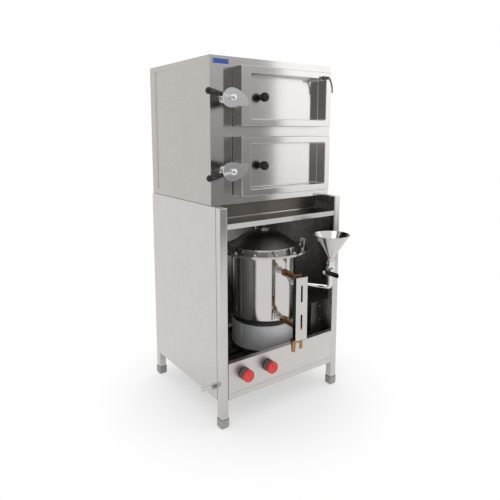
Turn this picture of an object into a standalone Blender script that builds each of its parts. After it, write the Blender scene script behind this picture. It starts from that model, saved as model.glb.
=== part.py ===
"""Two-chamber gas idli steamer on an open stand, built piece by piece.

Lengths are metres, +Z is up, +X is the viewer's right and the front faces -Y.
The pieces are laid out about the middle of the stand's footprint. The root empty
then carries them all, so that the origin lies on the floor under the middle of
the whole object.
"""

import math

import bmesh
import bpy
from mathutils import Matrix, Vector

# Whole cabinet
BOX_WIDTH = 0.600
BOX_DEPTH = 0.500
BOX_HEIGHT = 0.545
STAND_HEIGHT = 0.860
STAND_MARGIN = 0.006
STAND_OVERHANG = 0.070
SHEET = 0.0015
SEAT = 0.0003
OVERRUN = 0.010
WELD = 0.0006

# Posts, feet and rails of the stand
POST = 0.032
POST_WALL = 0.002
FOOT_WIDTH = 0.038
FOOT_HEIGHT = 0.037
FOOT_FLOOR = 0.008
FOOT_CORNER = 0.005
FOOT_ROUND = 0.009
TOP_RAIL = 0.030
LOWER_RAIL = 0.024
RAIL_WALL = 0.002
LOWER_RAIL_HEIGHT = 0.110

# Front ledge and drip deck under the box
LEDGE_DROP = 0.061
LEDGE_LIP = 0.021
LEDGE_DEPTH = 0.118

# Apron with its gas controls
APRON_HEIGHT = 0.124
APRON_RETURN = 0.022
GAS_DROP = 0.002
GAS_REACH = 0.130
GAS_SPACING = 0.117
STEM_RADIUS = 0.004
STEM_HOLE_RADIUS = 0.006
KNOB_RADIUS = 0.0245
KNOB_LENGTH = 0.036
KNOB_STANDOFF = 0.003
KNOB_EDGE = 0.004
KNOB_DISH_RADIUS = 0.013
KNOB_DISH_DEPTH = 0.002
KNOB_SOCKET = 0.020

# Gas manifold behind the apron
MANIFOLD_DROP = 0.048
MANIFOLD_SETBACK = 0.056
MANIFOLD_RADIUS = 0.0085
MANIFOLD_END = 0.025
VALVE_RADIUS = 0.011
VALVE_LENGTH = 0.046
VALVE_CAP = 0.012
NIPPLE_LENGTH = 0.058
NIPPLE_BARB = 0.0095
NIPPLE_TIP = 0.0065
NIPPLE_NUT = 0.0125
NIPPLE_NUT_LENGTH = 0.012
NIPPLE_BARBS = 3

# Stiffener on the right-hand side panel
WING_HEIGHT = 0.244
WING_WIDTH = 0.091
WING_SETBACK = 0.070

# Boiler, with its axis measured from the middle of the stand
BOILER_X = 0.045
BOILER_Y = -0.083
BOILER_RADIUS = 0.1395
BOILER_WALL = 0.0025
BOILER_CORNER = 0.010
BOILER_HEADROOM = 0.1695
FLANGE_RADIUS = 0.1915
FLANGE_THICKNESS = 0.005
LID_FLANGE = 0.004
LID_COLLAR_RADIUS = 0.148
LID_COLLAR_HEIGHT = 0.0155
LID_BEAD = 0.003
LID_DOME_HEIGHT = 0.060
LID_SHEET = 0.002
LID_BOSS_RADIUS = 0.026
LID_BOSS_HEIGHT = 0.010
BOLT_CIRCLE = 0.172
BOLT_COUNT = 12
BOLT_TURN_DEG = -19.5
BOLT_HEAD = 0.0085
BOLT_HEAD_HEIGHT = 0.006
HOOK_ROD = 0.0035
HOOK_HEIGHT = 0.036
HOOK_REACH = 0.016
HOOK_CIRCLE = 0.184
HOOK_ANGLE_DEG = -26.0

# Burner housing under the boiler
BASE_RING_HEIGHT = 0.016
BASE_RING_INSET = 0.005
BASE_RING_WIDTH = 0.012
HOUSING_HEIGHT = 0.123
SKIRT_WALL = 0.002
TRIVET_HEIGHT = 0.080
TRIVET_RING_INNER = 0.118
TRIVET_RING_OUTER = 0.146
TRIVET_RING = 0.008
TRIVET_BAR_SPREAD = 0.085
TRIVET_BAR_WIDTH = 0.024
TRIVET_BAR = 0.012
TRIVET_LEG = 0.006
BURNER_DROP = 0.009
BURNER_HEIGHT = 0.022
BURNER_INNER = 0.078
BURNER_OUTER = 0.107
BURNER_SPOKE = 0.014
BURNER_HUB = 0.026
BURNER_TUBE = 0.009
BURNER_BOLT = 0.005
BURNER_BEND = 0.050
BURNER_AIR_GAP = 0.003
BURNER_TUBE_DROP = 0.011
BURNER_ENTRY_DEG = 22.0
BURNER_BEND_SHARE = 0.8

# Water gauge, turned to the left of straight ahead
GAUGE_TURN_DEG = -9.0
GAUGE_TOP_DROP = 0.0645
GAUGE_LOW_RISE = 0.028
GAUGE_GLASS_REACH = 0.285
GAUGE_FRONT_REACH = 0.314
STUB_RADIUS = 0.0125
STUB_LENGTH = 0.044
COCK_RADIUS = 0.011
COCK_NUT = 0.017
COCK_NUT_LENGTH = 0.020
SOCKET_RADIUS = 0.0135
SOCKET_DROP = 0.024
SOCKET_RISE = 0.020
GLASS_RADIUS = 0.007
GLASS_WALL = 0.0015
GLASS_SEAT_DEPTH = 0.010
GUARD_WIDTH = 0.052
GUARD_DEPTH = 0.022
GUARD_DROP = 0.040
GUARD_RISE = 0.013
GUARD_SHEET = 0.0015
GUARD_SLOT_WIDTH = 0.008
LOWER_SLOT_RISE = 0.002
LOWER_SLOT_LENGTH = 0.062
UPPER_SLOT_DROP = 0.018
UPPER_SLOT_LENGTH = 0.068
DRAIN_DROP = 0.050
DRAIN_RADIUS = 0.0095
DRAIN_HALF_WIDTH = 0.026
DRAIN_LEG_OFFSET = 0.017
DRAIN_NOZZLE_TOP = 0.011
DRAIN_NOZZLE_TIP = 0.006
DRAIN_NOZZLE_LENGTH = 0.046
DRAIN_STEM = 0.004
DRAIN_STEM_LENGTH = 0.012
DRAIN_LEVER_WIDTH = 0.014
DRAIN_LEVER_THICKNESS = 0.004
DRAIN_LEVER_LENGTH = 0.040
DRAIN_LEVER_GAP = 0.001

# Filler pipe, valve and funnel, in front of the right-hand post
FILLER_INSET = 0.070
FILLER_STANDOFF = 0.05242
FILLER_RISE_SHARE = 0.5145
PIPE_RADIUS = 0.0105
PIPE_BEND = 0.024
PIPE_STUB = 0.030
VALVE_RISE = 0.0475
VALVE_HEIGHT = 0.065
VALVE_HEX = 0.0165
VALVE_BALL = 0.0185
VALVE_STEM_SHARE = 0.323
VALVE_STEM_RADIUS = 0.005
VALVE_BOSS_RADIUS = 0.009
VALVE_BOSS_REACH = 0.026
VALVE_LEVER_THICKNESS = 0.004
VALVE_LEVER_LENGTH = 0.075
VALVE_LEVER_TAIL = 0.012
VALVE_LEVER_WIDTH = 0.020
VALVE_NUT_RADIUS = 0.0085
VALVE_NUT_LENGTH = 0.007
FUNNEL_HEIGHT = 0.112
FUNNEL_RADIUS = 0.0745
FUNNEL_NECK = 0.0125
FUNNEL_WALL = 0.0012
FUNNEL_RIM = 0.003

# Steam pipe from the boiler's lid into the lower chamber
STEAM_RADIUS = 0.017
STEAM_BORE = 0.014
STEAM_FLANGE = 0.026
STEAM_FLANGE_THICKNESS = 0.006
STEAM_UNION = 0.027
STEAM_UNION_HEIGHT = 0.024
STEAM_STAND_UP = 0.006

# Steaming box: outer shell, front frame and the two chambers
PANEL_BORDER_FRONT = 0.030
PANEL_BORDER_BACK = 0.042
PANEL_BORDER_TOP = 0.021
PANEL_BORDER_BOTTOM = 0.026
PANEL_RECESS = 0.004
FRAME_RETURN = 0.015
DOOR_INSET_LEFT = 0.0965
DOOR_INSET_RIGHT = 0.0575
DOOR_INSET_TOP = 0.0348
DOOR_INSET_BOTTOM = 0.0327
DOOR_SPACING = 0.0385
DOOR_LAP = 0.018
UPPER_DOOR_SHARE = 0.4943
UPPER_RUNNER_SHARES = (0.4862, 0.7903)
LOWER_RUNNER_SHARES = (0.2658, 0.5405)
CHAMBER_WALL = 0.0012
CHAMBER_BACK_GAP = 0.040
CHAMBER_LIP = 0.008
RUNNER_WIDTH = 0.016
RUNNER_SETBACK = 0.012
SPACER_LENGTH = 0.330
RISER_RADIUS = 0.018
RISER_SETBACK = 0.120

# Idli trays
TRAY_SIDE_CLEARANCE = 0.007
TRAY_FRONT_CLEARANCE = 0.014
TRAY_BACK_CLEARANCE = 0.010
TRAY_LIP = 0.006
TRAY_SHEET = 0.0012
CUP_COLUMNS = 3
CUP_ROWS = 4
CUP_RADIUS = 0.044
CUP_DEPTH = 0.013
CUP_FLOOR_SHARE = 0.62

# Doors
DOOR_PROJECTION = 0.0625
DOOR_SHEET = 0.0015
GASKET_GAP = 0.006
GASKET_INSET = 0.004
GASKET_WIDTH = 0.010
RECESS_LEFT = 0.041
RECESS_RIGHT = 0.027
RECESS_EDGE = 0.037
RECESS_DEPTH = 0.048
DRAIN_HOLE = 0.003
DOOR_KNOB_INSET = 0.119
DOOR_KNOB_RADIUS = 0.0185
DOOR_KNOB_REACH = 0.0455
DOOR_KNOB_NECK = 0.006
DOOR_KNOB_BASE = 0.011
DOOR_KNOB_FLUTES = 10
DOOR_KNOB_FLUTE_DEPTH = 0.0012

# Door hinges
HINGE_OUTSET = 0.010
HINGE_STANDOFF = 0.0075
HINGE_BARREL = 0.006
HINGE_PIN = 0.003
HINGE_HEIGHT = 0.150
HINGE_LEAF = 0.032
HINGE_LEAF_THICKNESS = 0.002
HINGE_DOOR_LEAF = 0.030
HINGE_KNUCKLE_GAP = 0.0006

# Latches
LATCH_INSET = 0.0415
UPPER_LATCH_DROP = 0.1165
LOWER_LATCH_RISE = 0.0960
LATCH_BASE_RADIUS = 0.018
LATCH_BASE_HEIGHT = 0.006
LATCH_NECK_RADIUS = 0.0085
LATCH_PIN_RADIUS = 0.0045
LATCH_PIN_LENGTH = 0.010
LATCH_GAP = 0.0012
CAM_THICKNESS = 0.003
CAM_REACH = 0.068
CAM_OUTLINE_SHARES = (
    (-0.61, -0.10), (-0.56, 0.19), (-0.36, 0.41), (-0.05, 0.51), (0.36, 0.41), (0.72, 0.20),
    (1.00, -0.10), (0.99, -0.33), (0.86, -0.42), (0.36, -0.44), (-0.12, -0.53), (-0.50, -0.39),
)
HUB_RADIUS = 0.0125
HUB_HEIGHT = 0.013
LATCH_ROD = 0.0045
LATCH_ROD_LENGTH = 0.050
LATCH_TILT_DEG = 10.0
GRIP_LENGTH = 0.066
GRIP_SMALL = 0.008
GRIP_LARGE = 0.0155
GRIP_COVER = 0.008

# Vent cock on the upper door
VENT_INSET_SIDE = 0.036
VENT_INSET_TOP = 0.0235
VENT_BASE = 0.009
VENT_BASE_LENGTH = 0.004
VENT_STEM = 0.006
VENT_LENGTH = 0.016
VENT_NOZZLE = 0.0072
VENT_NOZZLE_LENGTH = 0.019
VENT_AXLE = 0.003
VENT_AXLE_LENGTH = 0.006
VENT_LEVER_REACH = 0.026
VENT_LEVER_DROP = 0.058
VENT_LEVER_WIDTH = 0.009
VENT_LEVER_THICKNESS = 0.003
VENT_LEVER_END_SHARE = 0.55

# How finely round work is divided
ROUND_SMALL = 12
ROUND_FITTING = 16
ROUND_MIDDLE = 20
ROUND_PORT = 24
ROUND_LARGE = 28
BEND_STEPS = 5
HOOK_STEPS = 4
HOOK_SIDES = 8
SLOT_STEPS = 3
FOOT_STEPS = 2
DOME_STEPS = 5
LEVER_STEPS = 8
BALL_STEPS = 5
CAM_STEPS = 3
VENT_STEPS = 6
CUP_SIDES = 8

# Places worked out from the sizes above
STAND_DEPTH = BOX_DEPTH + STAND_OVERHANG
FRONT = -STAND_DEPTH / 2
BACK = STAND_DEPTH / 2
SIDE = BOX_WIDTH / 2 + STAND_MARGIN
BOX_BACK = BACK
BOX_FRONT = BOX_BACK - BOX_DEPTH
BOX_BOTTOM = STAND_HEIGHT + SEAT
BOX_TOP = BOX_BOTTOM + BOX_HEIGHT
POST_INNER = SIDE - POST
RAIL_OUTER = SIDE - SHEET - SEAT
LOWER_RAIL_TOP = LOWER_RAIL_HEIGHT + LOWER_RAIL
LEDGE_HEIGHT = STAND_HEIGHT - LEDGE_DROP
APRON_TOP = LOWER_RAIL_TOP + APRON_HEIGHT
WING_TOP = LOWER_RAIL_TOP + WING_HEIGHT
DOOR_LEFT = -BOX_WIDTH / 2 + DOOR_INSET_LEFT
DOOR_RIGHT = BOX_WIDTH / 2 - DOOR_INSET_RIGHT
DOORS_HEIGHT = BOX_HEIGHT - DOOR_INSET_TOP - DOOR_INSET_BOTTOM - DOOR_SPACING
UPPER_DOOR_TOP = BOX_TOP - DOOR_INSET_TOP
UPPER_DOOR = (UPPER_DOOR_TOP - DOORS_HEIGHT * UPPER_DOOR_SHARE, UPPER_DOOR_TOP)
LOWER_DOOR = (BOX_BOTTOM + DOOR_INSET_BOTTOM, UPPER_DOOR[0] - DOOR_SPACING)
UPPER_RUNNERS = [
    UPPER_DOOR[0] + (UPPER_DOOR[1] - UPPER_DOOR[0]) * share for share in UPPER_RUNNER_SHARES
]
LOWER_RUNNERS = [
    LOWER_DOOR[0] + (LOWER_DOOR[1] - LOWER_DOOR[0]) * share for share in LOWER_RUNNER_SHARES
]
DOOR_FRONT = BOX_FRONT - DOOR_PROJECTION
DOOR_BACK = BOX_FRONT - GASKET_GAP
RECESS_FLOOR = DOOR_FRONT + RECESS_DEPTH
OPENING_LEFT = DOOR_LEFT + DOOR_LAP
OPENING_RIGHT = DOOR_RIGHT - DOOR_LAP
CHAMBER_FRONT = BOX_FRONT + SHEET + SEAT
CHAMBER_BACK = BOX_BACK - CHAMBER_BACK_GAP
SKIRT_BOTTOM = LOWER_RAIL_TOP + TRIVET_HEIGHT
BURNER_TOP = SKIRT_BOTTOM - BURNER_DROP
GAS_HEIGHT = BURNER_TOP - GAS_DROP
GAS_RIGHT = GAS_REACH - BOILER_X
GAS_LEFT = GAS_RIGHT + GAS_SPACING
MANIFOLD_HEIGHT = GAS_HEIGHT - MANIFOLD_DROP
MANIFOLD_Y = FRONT + MANIFOLD_SETBACK
BOILER_BOTTOM = SKIRT_BOTTOM + HOUSING_HEIGHT
BOILER_TOP = LEDGE_HEIGHT - BOILER_HEADROOM
SKIRT_TOP = BOILER_BOTTOM - SEAT - BASE_RING_HEIGHT - SEAT
TRIVET_TOP = SKIRT_BOTTOM - SEAT
LID_BOTTOM = BOILER_TOP + SEAT
LID_COLLAR_TOP = LID_BOTTOM + LID_FLANGE + LID_COLLAR_HEIGHT
LID_TOP = LID_COLLAR_TOP + LID_DOME_HEIGHT + LID_BOSS_HEIGHT
HINGE_X = DOOR_RIGHT + HINGE_OUTSET
HINGE_Y = BOX_FRONT - HINGE_STANDOFF
LATCH_X = DOOR_LEFT - LATCH_INSET
CAM_BACK_PLANE = DOOR_FRONT - LATCH_GAP
GAUGE_UPPER = BOILER_TOP - GAUGE_TOP_DROP
GAUGE_LOWER = BOILER_BOTTOM + GAUGE_LOW_RISE
GUARD_BOTTOM = GAUGE_LOWER - GUARD_DROP
GUARD_TOP = GAUGE_UPPER + GUARD_RISE
LOWER_SLOT = (GAUGE_LOWER + LOWER_SLOT_RISE, GAUGE_LOWER + LOWER_SLOT_RISE + LOWER_SLOT_LENGTH)
UPPER_SLOT = (GAUGE_UPPER - UPPER_SLOT_DROP - UPPER_SLOT_LENGTH, GAUGE_UPPER - UPPER_SLOT_DROP)
FILLER_X = POST_INNER - FILLER_INSET
FILLER_Y = FRONT - FILLER_STANDOFF
FILLER_TURN_DEG = math.degrees(math.atan2(FILLER_X - BOILER_X, BOILER_Y - FILLER_Y))
FILLER_HEIGHT = BOILER_BOTTOM + (BOILER_TOP - BOILER_BOTTOM) * FILLER_RISE_SHARE
VALVE_BOTTOM = FILLER_HEIGHT + VALVE_RISE
VALVE_TOP = VALVE_BOTTOM + VALVE_HEIGHT
VALVE_STEM_HEIGHT = VALVE_BOTTOM + VALVE_HEIGHT * VALVE_STEM_SHARE
VALVE_LEVER_X = FILLER_X - VALVE_BOSS_REACH - SEAT
DRAIN_HEIGHT = GAUGE_LOWER - DRAIN_DROP


def clear_scene():
    """Removes every object that the file opened with."""
    for item in list(bpy.data.objects):
        bpy.data.objects.remove(item)


def material(name, colour, roughness, metallic):
    """Makes a Principled material from a linear colour."""
    made = bpy.data.materials.new(name)
    made.use_nodes = True
    shader = made.node_tree.nodes["Principled BSDF"]
    shader.inputs["Base Color"].default_value = (*colour, 1.0)
    shader.inputs["Roughness"].default_value = roughness
    shader.inputs["Metallic"].default_value = metallic
    return made


def tinted(base, name):
    """Gives a piece its own copy of a finish."""
    made = base.copy()
    made.name = name
    return made


def piece(name, mesh_data, finish, place=(0.0, 0.0, 0.0), turn_deg=0.0):
    """Makes one named piece whose points are given about its own origin."""
    mesh = bpy.data.meshes.new(name)
    bmesh.ops.recalc_face_normals(mesh_data, faces=mesh_data.faces)
    mesh_data.to_mesh(mesh)
    mesh_data.free()
    made = bpy.data.objects.new(name, mesh)
    bpy.context.scene.collection.objects.link(made)
    mesh.materials.append(tinted(finish, name + "_finish"))
    made.location = place
    made.rotation_euler.z = math.radians(turn_deg)
    made.parent = root
    return made


def smooth(made, angle_deg=35.0):
    """Shades a round piece smooth and keeps its real corners sharp."""
    made.data.shade_smooth()
    made.data.set_sharp_from_angle(angle=math.radians(angle_deg))
    return made


def block(low, high):
    """A box between two corners."""
    made = bmesh.new()
    middle = (Vector(low) + Vector(high)) / 2
    span = Vector(high) - Vector(low)
    place = Matrix.Translation(middle) @ Matrix.Diagonal((*span, 1.0))
    bmesh.ops.create_cube(made, size=1.0, matrix=place)
    return made


def bevelled(mesh_data, edges, width, segments):
    """Rounds the chosen edges of a mesh."""
    bmesh.ops.bevel(
        mesh_data, geom=edges, offset=width, segments=segments, profile=0.5, affect="EDGES"
    )
    return mesh_data


def along(mesh_data, axis):
    """The edges of a mesh that run along one axis."""
    chosen = []
    for edge in mesh_data.edges:
        run = (edge.verts[1].co - edge.verts[0].co).normalized()
        if abs(run[axis]) > math.cos(math.radians(1.0)):
            chosen.append(edge)
    return chosen


def extruded(outline, axis, start, end):
    """A solid from a closed outline, pulled along the named axis.

    The outline holds (y, z) for axis x, (x, z) for axis y and (x, y) for axis z.
    """
    order = {
        "x": lambda a, b, c: (c, a, b),
        "y": lambda a, b, c: (a, c, b),
        "z": lambda a, b, c: (a, b, c),
    }[axis]
    made = bmesh.new()
    corners = [made.verts.new(order(a, b, start)) for a, b in outline]
    face = made.faces.new(corners)
    pulled = bmesh.ops.extrude_face_region(made, geom=[face])["geom"]
    moved = [item for item in pulled if isinstance(item, bmesh.types.BMVert)]
    bmesh.ops.translate(made, verts=moved, vec=order(0.0, 0.0, end - start))
    return made


def folded(path, thickness):
    """The outline of a sheet bent along an open path, thickened to its left."""
    path = [Vector(point) for point in path]
    offset = []
    for index, point in enumerate(path):
        before = path[max(index - 1, 0)]
        after = path[min(index + 1, len(path) - 1)]
        sides = []
        if index > 0:
            sides.append((point - before).normalized())
        if index < len(path) - 1:
            sides.append((after - point).normalized())
        normals = [Vector((-side.y, side.x)) for side in sides]
        mitre = sum(normals, Vector((0.0, 0.0))).normalized()
        offset.append(point + mitre * (thickness / mitre.dot(normals[0])))
    return [tuple(point) for point in path] + [tuple(point) for point in reversed(offset)]


def turned(profile, steps, axis="z", closed=False):
    """A solid of revolution from (radius, height) points, along the named axis."""
    made = bmesh.new()
    points = [made.verts.new((radius, 0.0, height)) for radius, height in profile]
    pairs = list(zip(points, points[1:]))
    if closed:
        pairs.append((points[-1], points[0]))
    edges = [made.edges.new(pair) for pair in pairs if max(v.co.x for v in pair) > 0.0]
    bmesh.ops.spin(
        made, geom=points + edges, cent=(0.0, 0.0, 0.0), axis=(0.0, 0.0, 1.0),
        angle=2 * math.pi, steps=steps, use_merge=True,
    )
    bmesh.ops.remove_doubles(made, verts=made.verts, dist=SEAT / 100)
    aim = {"z": (0.0, 0.0, 1.0), "x": (1.0, 0.0, 0.0), "y": (0.0, 1.0, 0.0)}[axis]
    swing = Vector((0.0, 0.0, 1.0)).rotation_difference(Vector(aim)).to_matrix()
    bmesh.ops.rotate(made, verts=made.verts, cent=(0.0, 0.0, 0.0), matrix=swing)
    bmesh.ops.recalc_face_normals(made, faces=made.faces)
    return made


def rod(radius, start, end, steps=ROUND_SMALL, tip=None):
    """A round bar between two points, tapering to the tip radius where one is given."""
    start = Vector(start)
    run = Vector(end) - start
    made = bmesh.new()
    bmesh.ops.create_cone(
        made, cap_ends=True, segments=steps, radius1=radius,
        radius2=radius if tip is None else tip, depth=run.length,
    )
    swing = Vector((0.0, 0.0, 1.0)).rotation_difference(run).to_matrix().to_4x4()
    place = Matrix.Translation(start + run / 2) @ swing
    bmesh.ops.transform(made, matrix=place, verts=made.verts)
    return made


def rounded_route(points, bend, steps=BEND_STEPS):
    """The points of a route whose corners are round, at one bend radius."""
    points = [Vector(point) for point in points]
    route = [points[0]]
    for before, corner, after in zip(points, points[1:], points[2:]):
        entry = (before - corner).normalized()
        leave = (after - corner).normalized()
        half = entry.angle(leave) / 2
        setback = bend / math.tan(half)
        centre = corner + (entry + leave).normalized() * (bend / math.sin(half))
        first = (corner + entry * setback - centre).normalized()
        last = (corner + leave * setback - centre).normalized()
        for step in range(steps + 1):
            route.append(centre + first.slerp(last, step / steps) * bend)
    route.append(points[-1])
    return route


def swept(route, radius, steps=ROUND_SMALL):
    """A round bar along a route of points."""
    made = bmesh.new()
    rings = []
    side = None
    for index, point in enumerate(route):
        before = route[max(index - 1, 0)]
        after = route[min(index + 1, len(route) - 1)]
        ahead = (after - before).normalized()
        if side is None:
            side = ahead.orthogonal().normalized()
        side = (side - ahead * side.dot(ahead)).normalized()
        other = ahead.cross(side)
        ring = []
        for step in range(steps):
            angle = 2 * math.pi * step / steps
            out = side * math.cos(angle) + other * math.sin(angle)
            ring.append(made.verts.new(point + out * radius))
        rings.append(ring)
    for first, second in zip(rings, rings[1:]):
        for step in range(steps):
            follow = (step + 1) % steps
            made.faces.new((first[step], first[follow], second[follow], second[step]))
    made.faces.new(list(reversed(rings[0])))
    made.faces.new(rings[-1])
    return made


def hexagon(across, start, end):
    """A hexagonal nut between two points."""
    return rod(across, start, end, steps=6)


def moved(mesh_data, vector):
    """The same mesh, shifted."""
    bmesh.ops.translate(mesh_data, verts=mesh_data.verts, vec=vector)
    return mesh_data


def helper(mesh_data):
    """A hidden object used once by a Boolean."""
    mesh = bpy.data.meshes.new("helper")
    bmesh.ops.recalc_face_normals(mesh_data, faces=mesh_data.faces)
    mesh_data.to_mesh(mesh)
    mesh_data.free()
    made = bpy.data.objects.new("helper", mesh)
    made.hide_render = True
    made.display_type = "WIRE"
    bpy.context.scene.collection.objects.link(made)
    return made


def combined(mesh_data, operation, others):
    """Joins meshes to a mesh, or cuts them from it, one after another."""
    target = helper(mesh_data)
    for other in others:
        tool = helper(other)
        change = target.modifiers.new("change", "BOOLEAN")
        change.operation = operation
        change.solver = "EXACT"
        change.object = tool
        bpy.context.view_layer.update()
        graph = bpy.context.evaluated_depsgraph_get()
        result = bpy.data.meshes.new_from_object(target.evaluated_get(graph))
        target.modifiers.remove(change)
        target.data = result
        bpy.data.objects.remove(tool)
    made = bmesh.new()
    made.from_mesh(target.data)
    bpy.data.objects.remove(target)
    return made


def joined(mesh_data, *others):
    """One solid from several that overlap."""
    return combined(mesh_data, "UNION", others)


def cut(mesh_data, *others):
    """A solid with others taken out of it."""
    return combined(mesh_data, "DIFFERENCE", others)


def hollow_bar(low, high, wall, axis, closed_end=False):
    """A square tube along one axis, open at both ends or closed at the far one."""
    inner_low = [value + wall for value in low]
    inner_high = [value - wall for value in high]
    inner_low[axis] = low[axis] - OVERRUN
    inner_high[axis] = high[axis] - wall if closed_end else high[axis] + OVERRUN
    return cut(block(low, high), block(inner_low, inner_high))


# Finishes
clear_scene()
root = bpy.data.objects.new("steamer_root", None)
bpy.context.scene.collection.objects.link(root)
STEEL = material("brushed_steel", (0.50, 0.49, 0.47), 0.28, 1.0)
MIRROR_STEEL = material("polished_steel", (0.62, 0.61, 0.60), 0.14, 1.0)
CHROME = material("chrome", (0.70, 0.70, 0.70), 0.08, 1.0)
BRASS = material("brass", (0.42, 0.24, 0.10), 0.30, 1.0)
IRON = material("cast_iron", (0.03, 0.03, 0.032), 0.70, 0.4)
BLACK = material("black_plastic", (0.012, 0.012, 0.012), 0.35, 0.0)
RED = material("red_plastic", (0.68, 0.02, 0.015), 0.32, 0.0)
RUBBER = material("grey_boot", (0.30, 0.30, 0.31), 0.55, 0.0)
SILICONE = material("silicone_seal", (0.45, 0.44, 0.42), 0.60, 0.0)
GLASS = material("gauge_glass", (0.75, 0.82, 0.80), 0.05, 0.0)


def build_posts_and_feet():
    """Four square posts that stand in four rounded boots."""
    for depth_name, depth_sign in (("front", -1), ("back", 1)):
        for side_name, side_sign in (("left", -1), ("right", 1)):
            centre_x = side_sign * (SIDE - POST / 2)
            centre_y = depth_sign * (BACK - POST / 2)
            half = POST / 2
            post = hollow_bar(
                [centre_x - half, centre_y - half, FOOT_FLOOR + SEAT],
                [centre_x + half, centre_y + half, STAND_HEIGHT],
                POST_WALL, 2, closed_end=True,
            )
            piece(f"post_{depth_name}_{side_name}", post, MIRROR_STEEL)
            half_foot = FOOT_WIDTH / 2
            boot = block(
                (centre_x - half_foot, centre_y - half_foot, 0.0),
                (centre_x + half_foot, centre_y + half_foot, FOOT_HEIGHT),
            )
            bevelled(boot, along(boot, 2), FOOT_CORNER, 1)
            rim = [edge for edge in boot.edges if max(v.co.z for v in edge.verts) < FOOT_CORNER]
            bevelled(boot, rim, FOOT_ROUND, FOOT_STEPS)
            reach = half + SEAT
            socket = block(
                (centre_x - reach, centre_y - reach, FOOT_FLOOR),
                (centre_x + reach, centre_y + reach, FOOT_HEIGHT + OVERRUN),
            )
            foot = piece(f"foot_{depth_name}_{side_name}", cut(boot, socket), RUBBER)
            smooth(foot, 50.0)


def build_rails():
    """Side rails under the box, and the four lower rails that tie the posts."""
    reach = BACK - POST - SEAT
    for side_name, sign in (("left", -1), ("right", 1)):
        for name, size, top in (("top", TOP_RAIL, STAND_HEIGHT), ("lower", LOWER_RAIL, LOWER_RAIL_TOP)):
            edges = sorted((sign * RAIL_OUTER, sign * (RAIL_OUTER - size)))
            bar = hollow_bar(
                [edges[0], -reach, top - size], [edges[1], reach, top], RAIL_WALL, 1
            )
            piece(f"{name}_rail_{side_name}", bar, STEEL)
    span = POST_INNER - SEAT
    for depth_name, near in (("front", FRONT), ("back", BACK - LOWER_RAIL)):
        bar = hollow_bar(
            [-span, near, LOWER_RAIL_HEIGHT], [span, near + LOWER_RAIL, LOWER_RAIL_TOP],
            RAIL_WALL, 0,
        )
        piece(f"lower_rail_{depth_name}", bar, MIRROR_STEEL)


def build_stand_panels():
    """Side sheets, back sheet, apron and the drip shelf under the box."""
    reach = BACK - POST - SEAT
    top = STAND_HEIGHT - SEAT
    left = block((-SIDE, -reach, LOWER_RAIL_HEIGHT), (-SIDE + SHEET, reach, top))
    pass_hole = rod(
        MANIFOLD_RADIUS + SEAT, (-SIDE - OVERRUN, MANIFOLD_Y, MANIFOLD_HEIGHT),
        (-SIDE + OVERRUN, MANIFOLD_Y, MANIFOLD_HEIGHT), steps=ROUND_MIDDLE,
    )
    piece("side_panel_left", cut(left, pass_hole), MIRROR_STEEL)

    right = block((SIDE - SHEET, -reach, LOWER_RAIL_HEIGHT), (SIDE, reach, top))
    wing_y = FRONT + WING_SETBACK
    wing = block(
        (SIDE - WING_WIDTH, wing_y, LOWER_RAIL_TOP + SEAT),
        (SIDE - SHEET / 2, wing_y + SHEET, WING_TOP),
    )
    piece("side_panel_right", joined(right, wing), MIRROR_STEEL)

    span = POST_INNER - SEAT
    back = block((-span, BACK - SHEET, LOWER_RAIL_TOP + SEAT), (span, BACK, top))
    piece("back_panel", back, STEEL)

    inner_y = FRONT + APRON_RETURN
    bottom = LOWER_RAIL_TOP + SEAT
    fold = folded(
        [(inner_y, APRON_TOP), (FRONT, APRON_TOP), (FRONT, bottom), (inner_y, bottom)], SHEET
    )
    apron = extruded(fold, "x", -span, span)
    holes = []
    for valve_x in (-GAS_LEFT, -GAS_RIGHT):
        holes.append(rod(
            STEM_HOLE_RADIUS, (valve_x, FRONT - OVERRUN, GAS_HEIGHT),
            (valve_x, FRONT + OVERRUN, GAS_HEIGHT), steps=ROUND_MIDDLE,
        ))
    piece("apron_panel", cut(apron, *holes), MIRROR_STEEL)

    step_y = FRONT + LEDGE_DEPTH
    fold = folded(
        [
            (FRONT, LEDGE_HEIGHT - LEDGE_LIP), (FRONT, LEDGE_HEIGHT), (step_y, LEDGE_HEIGHT),
            (step_y, STAND_HEIGHT - SEAT),
        ],
        -SHEET,
    )
    piece("drip_shelf", extruded(fold, "x", -span, span), MIRROR_STEEL)


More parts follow.
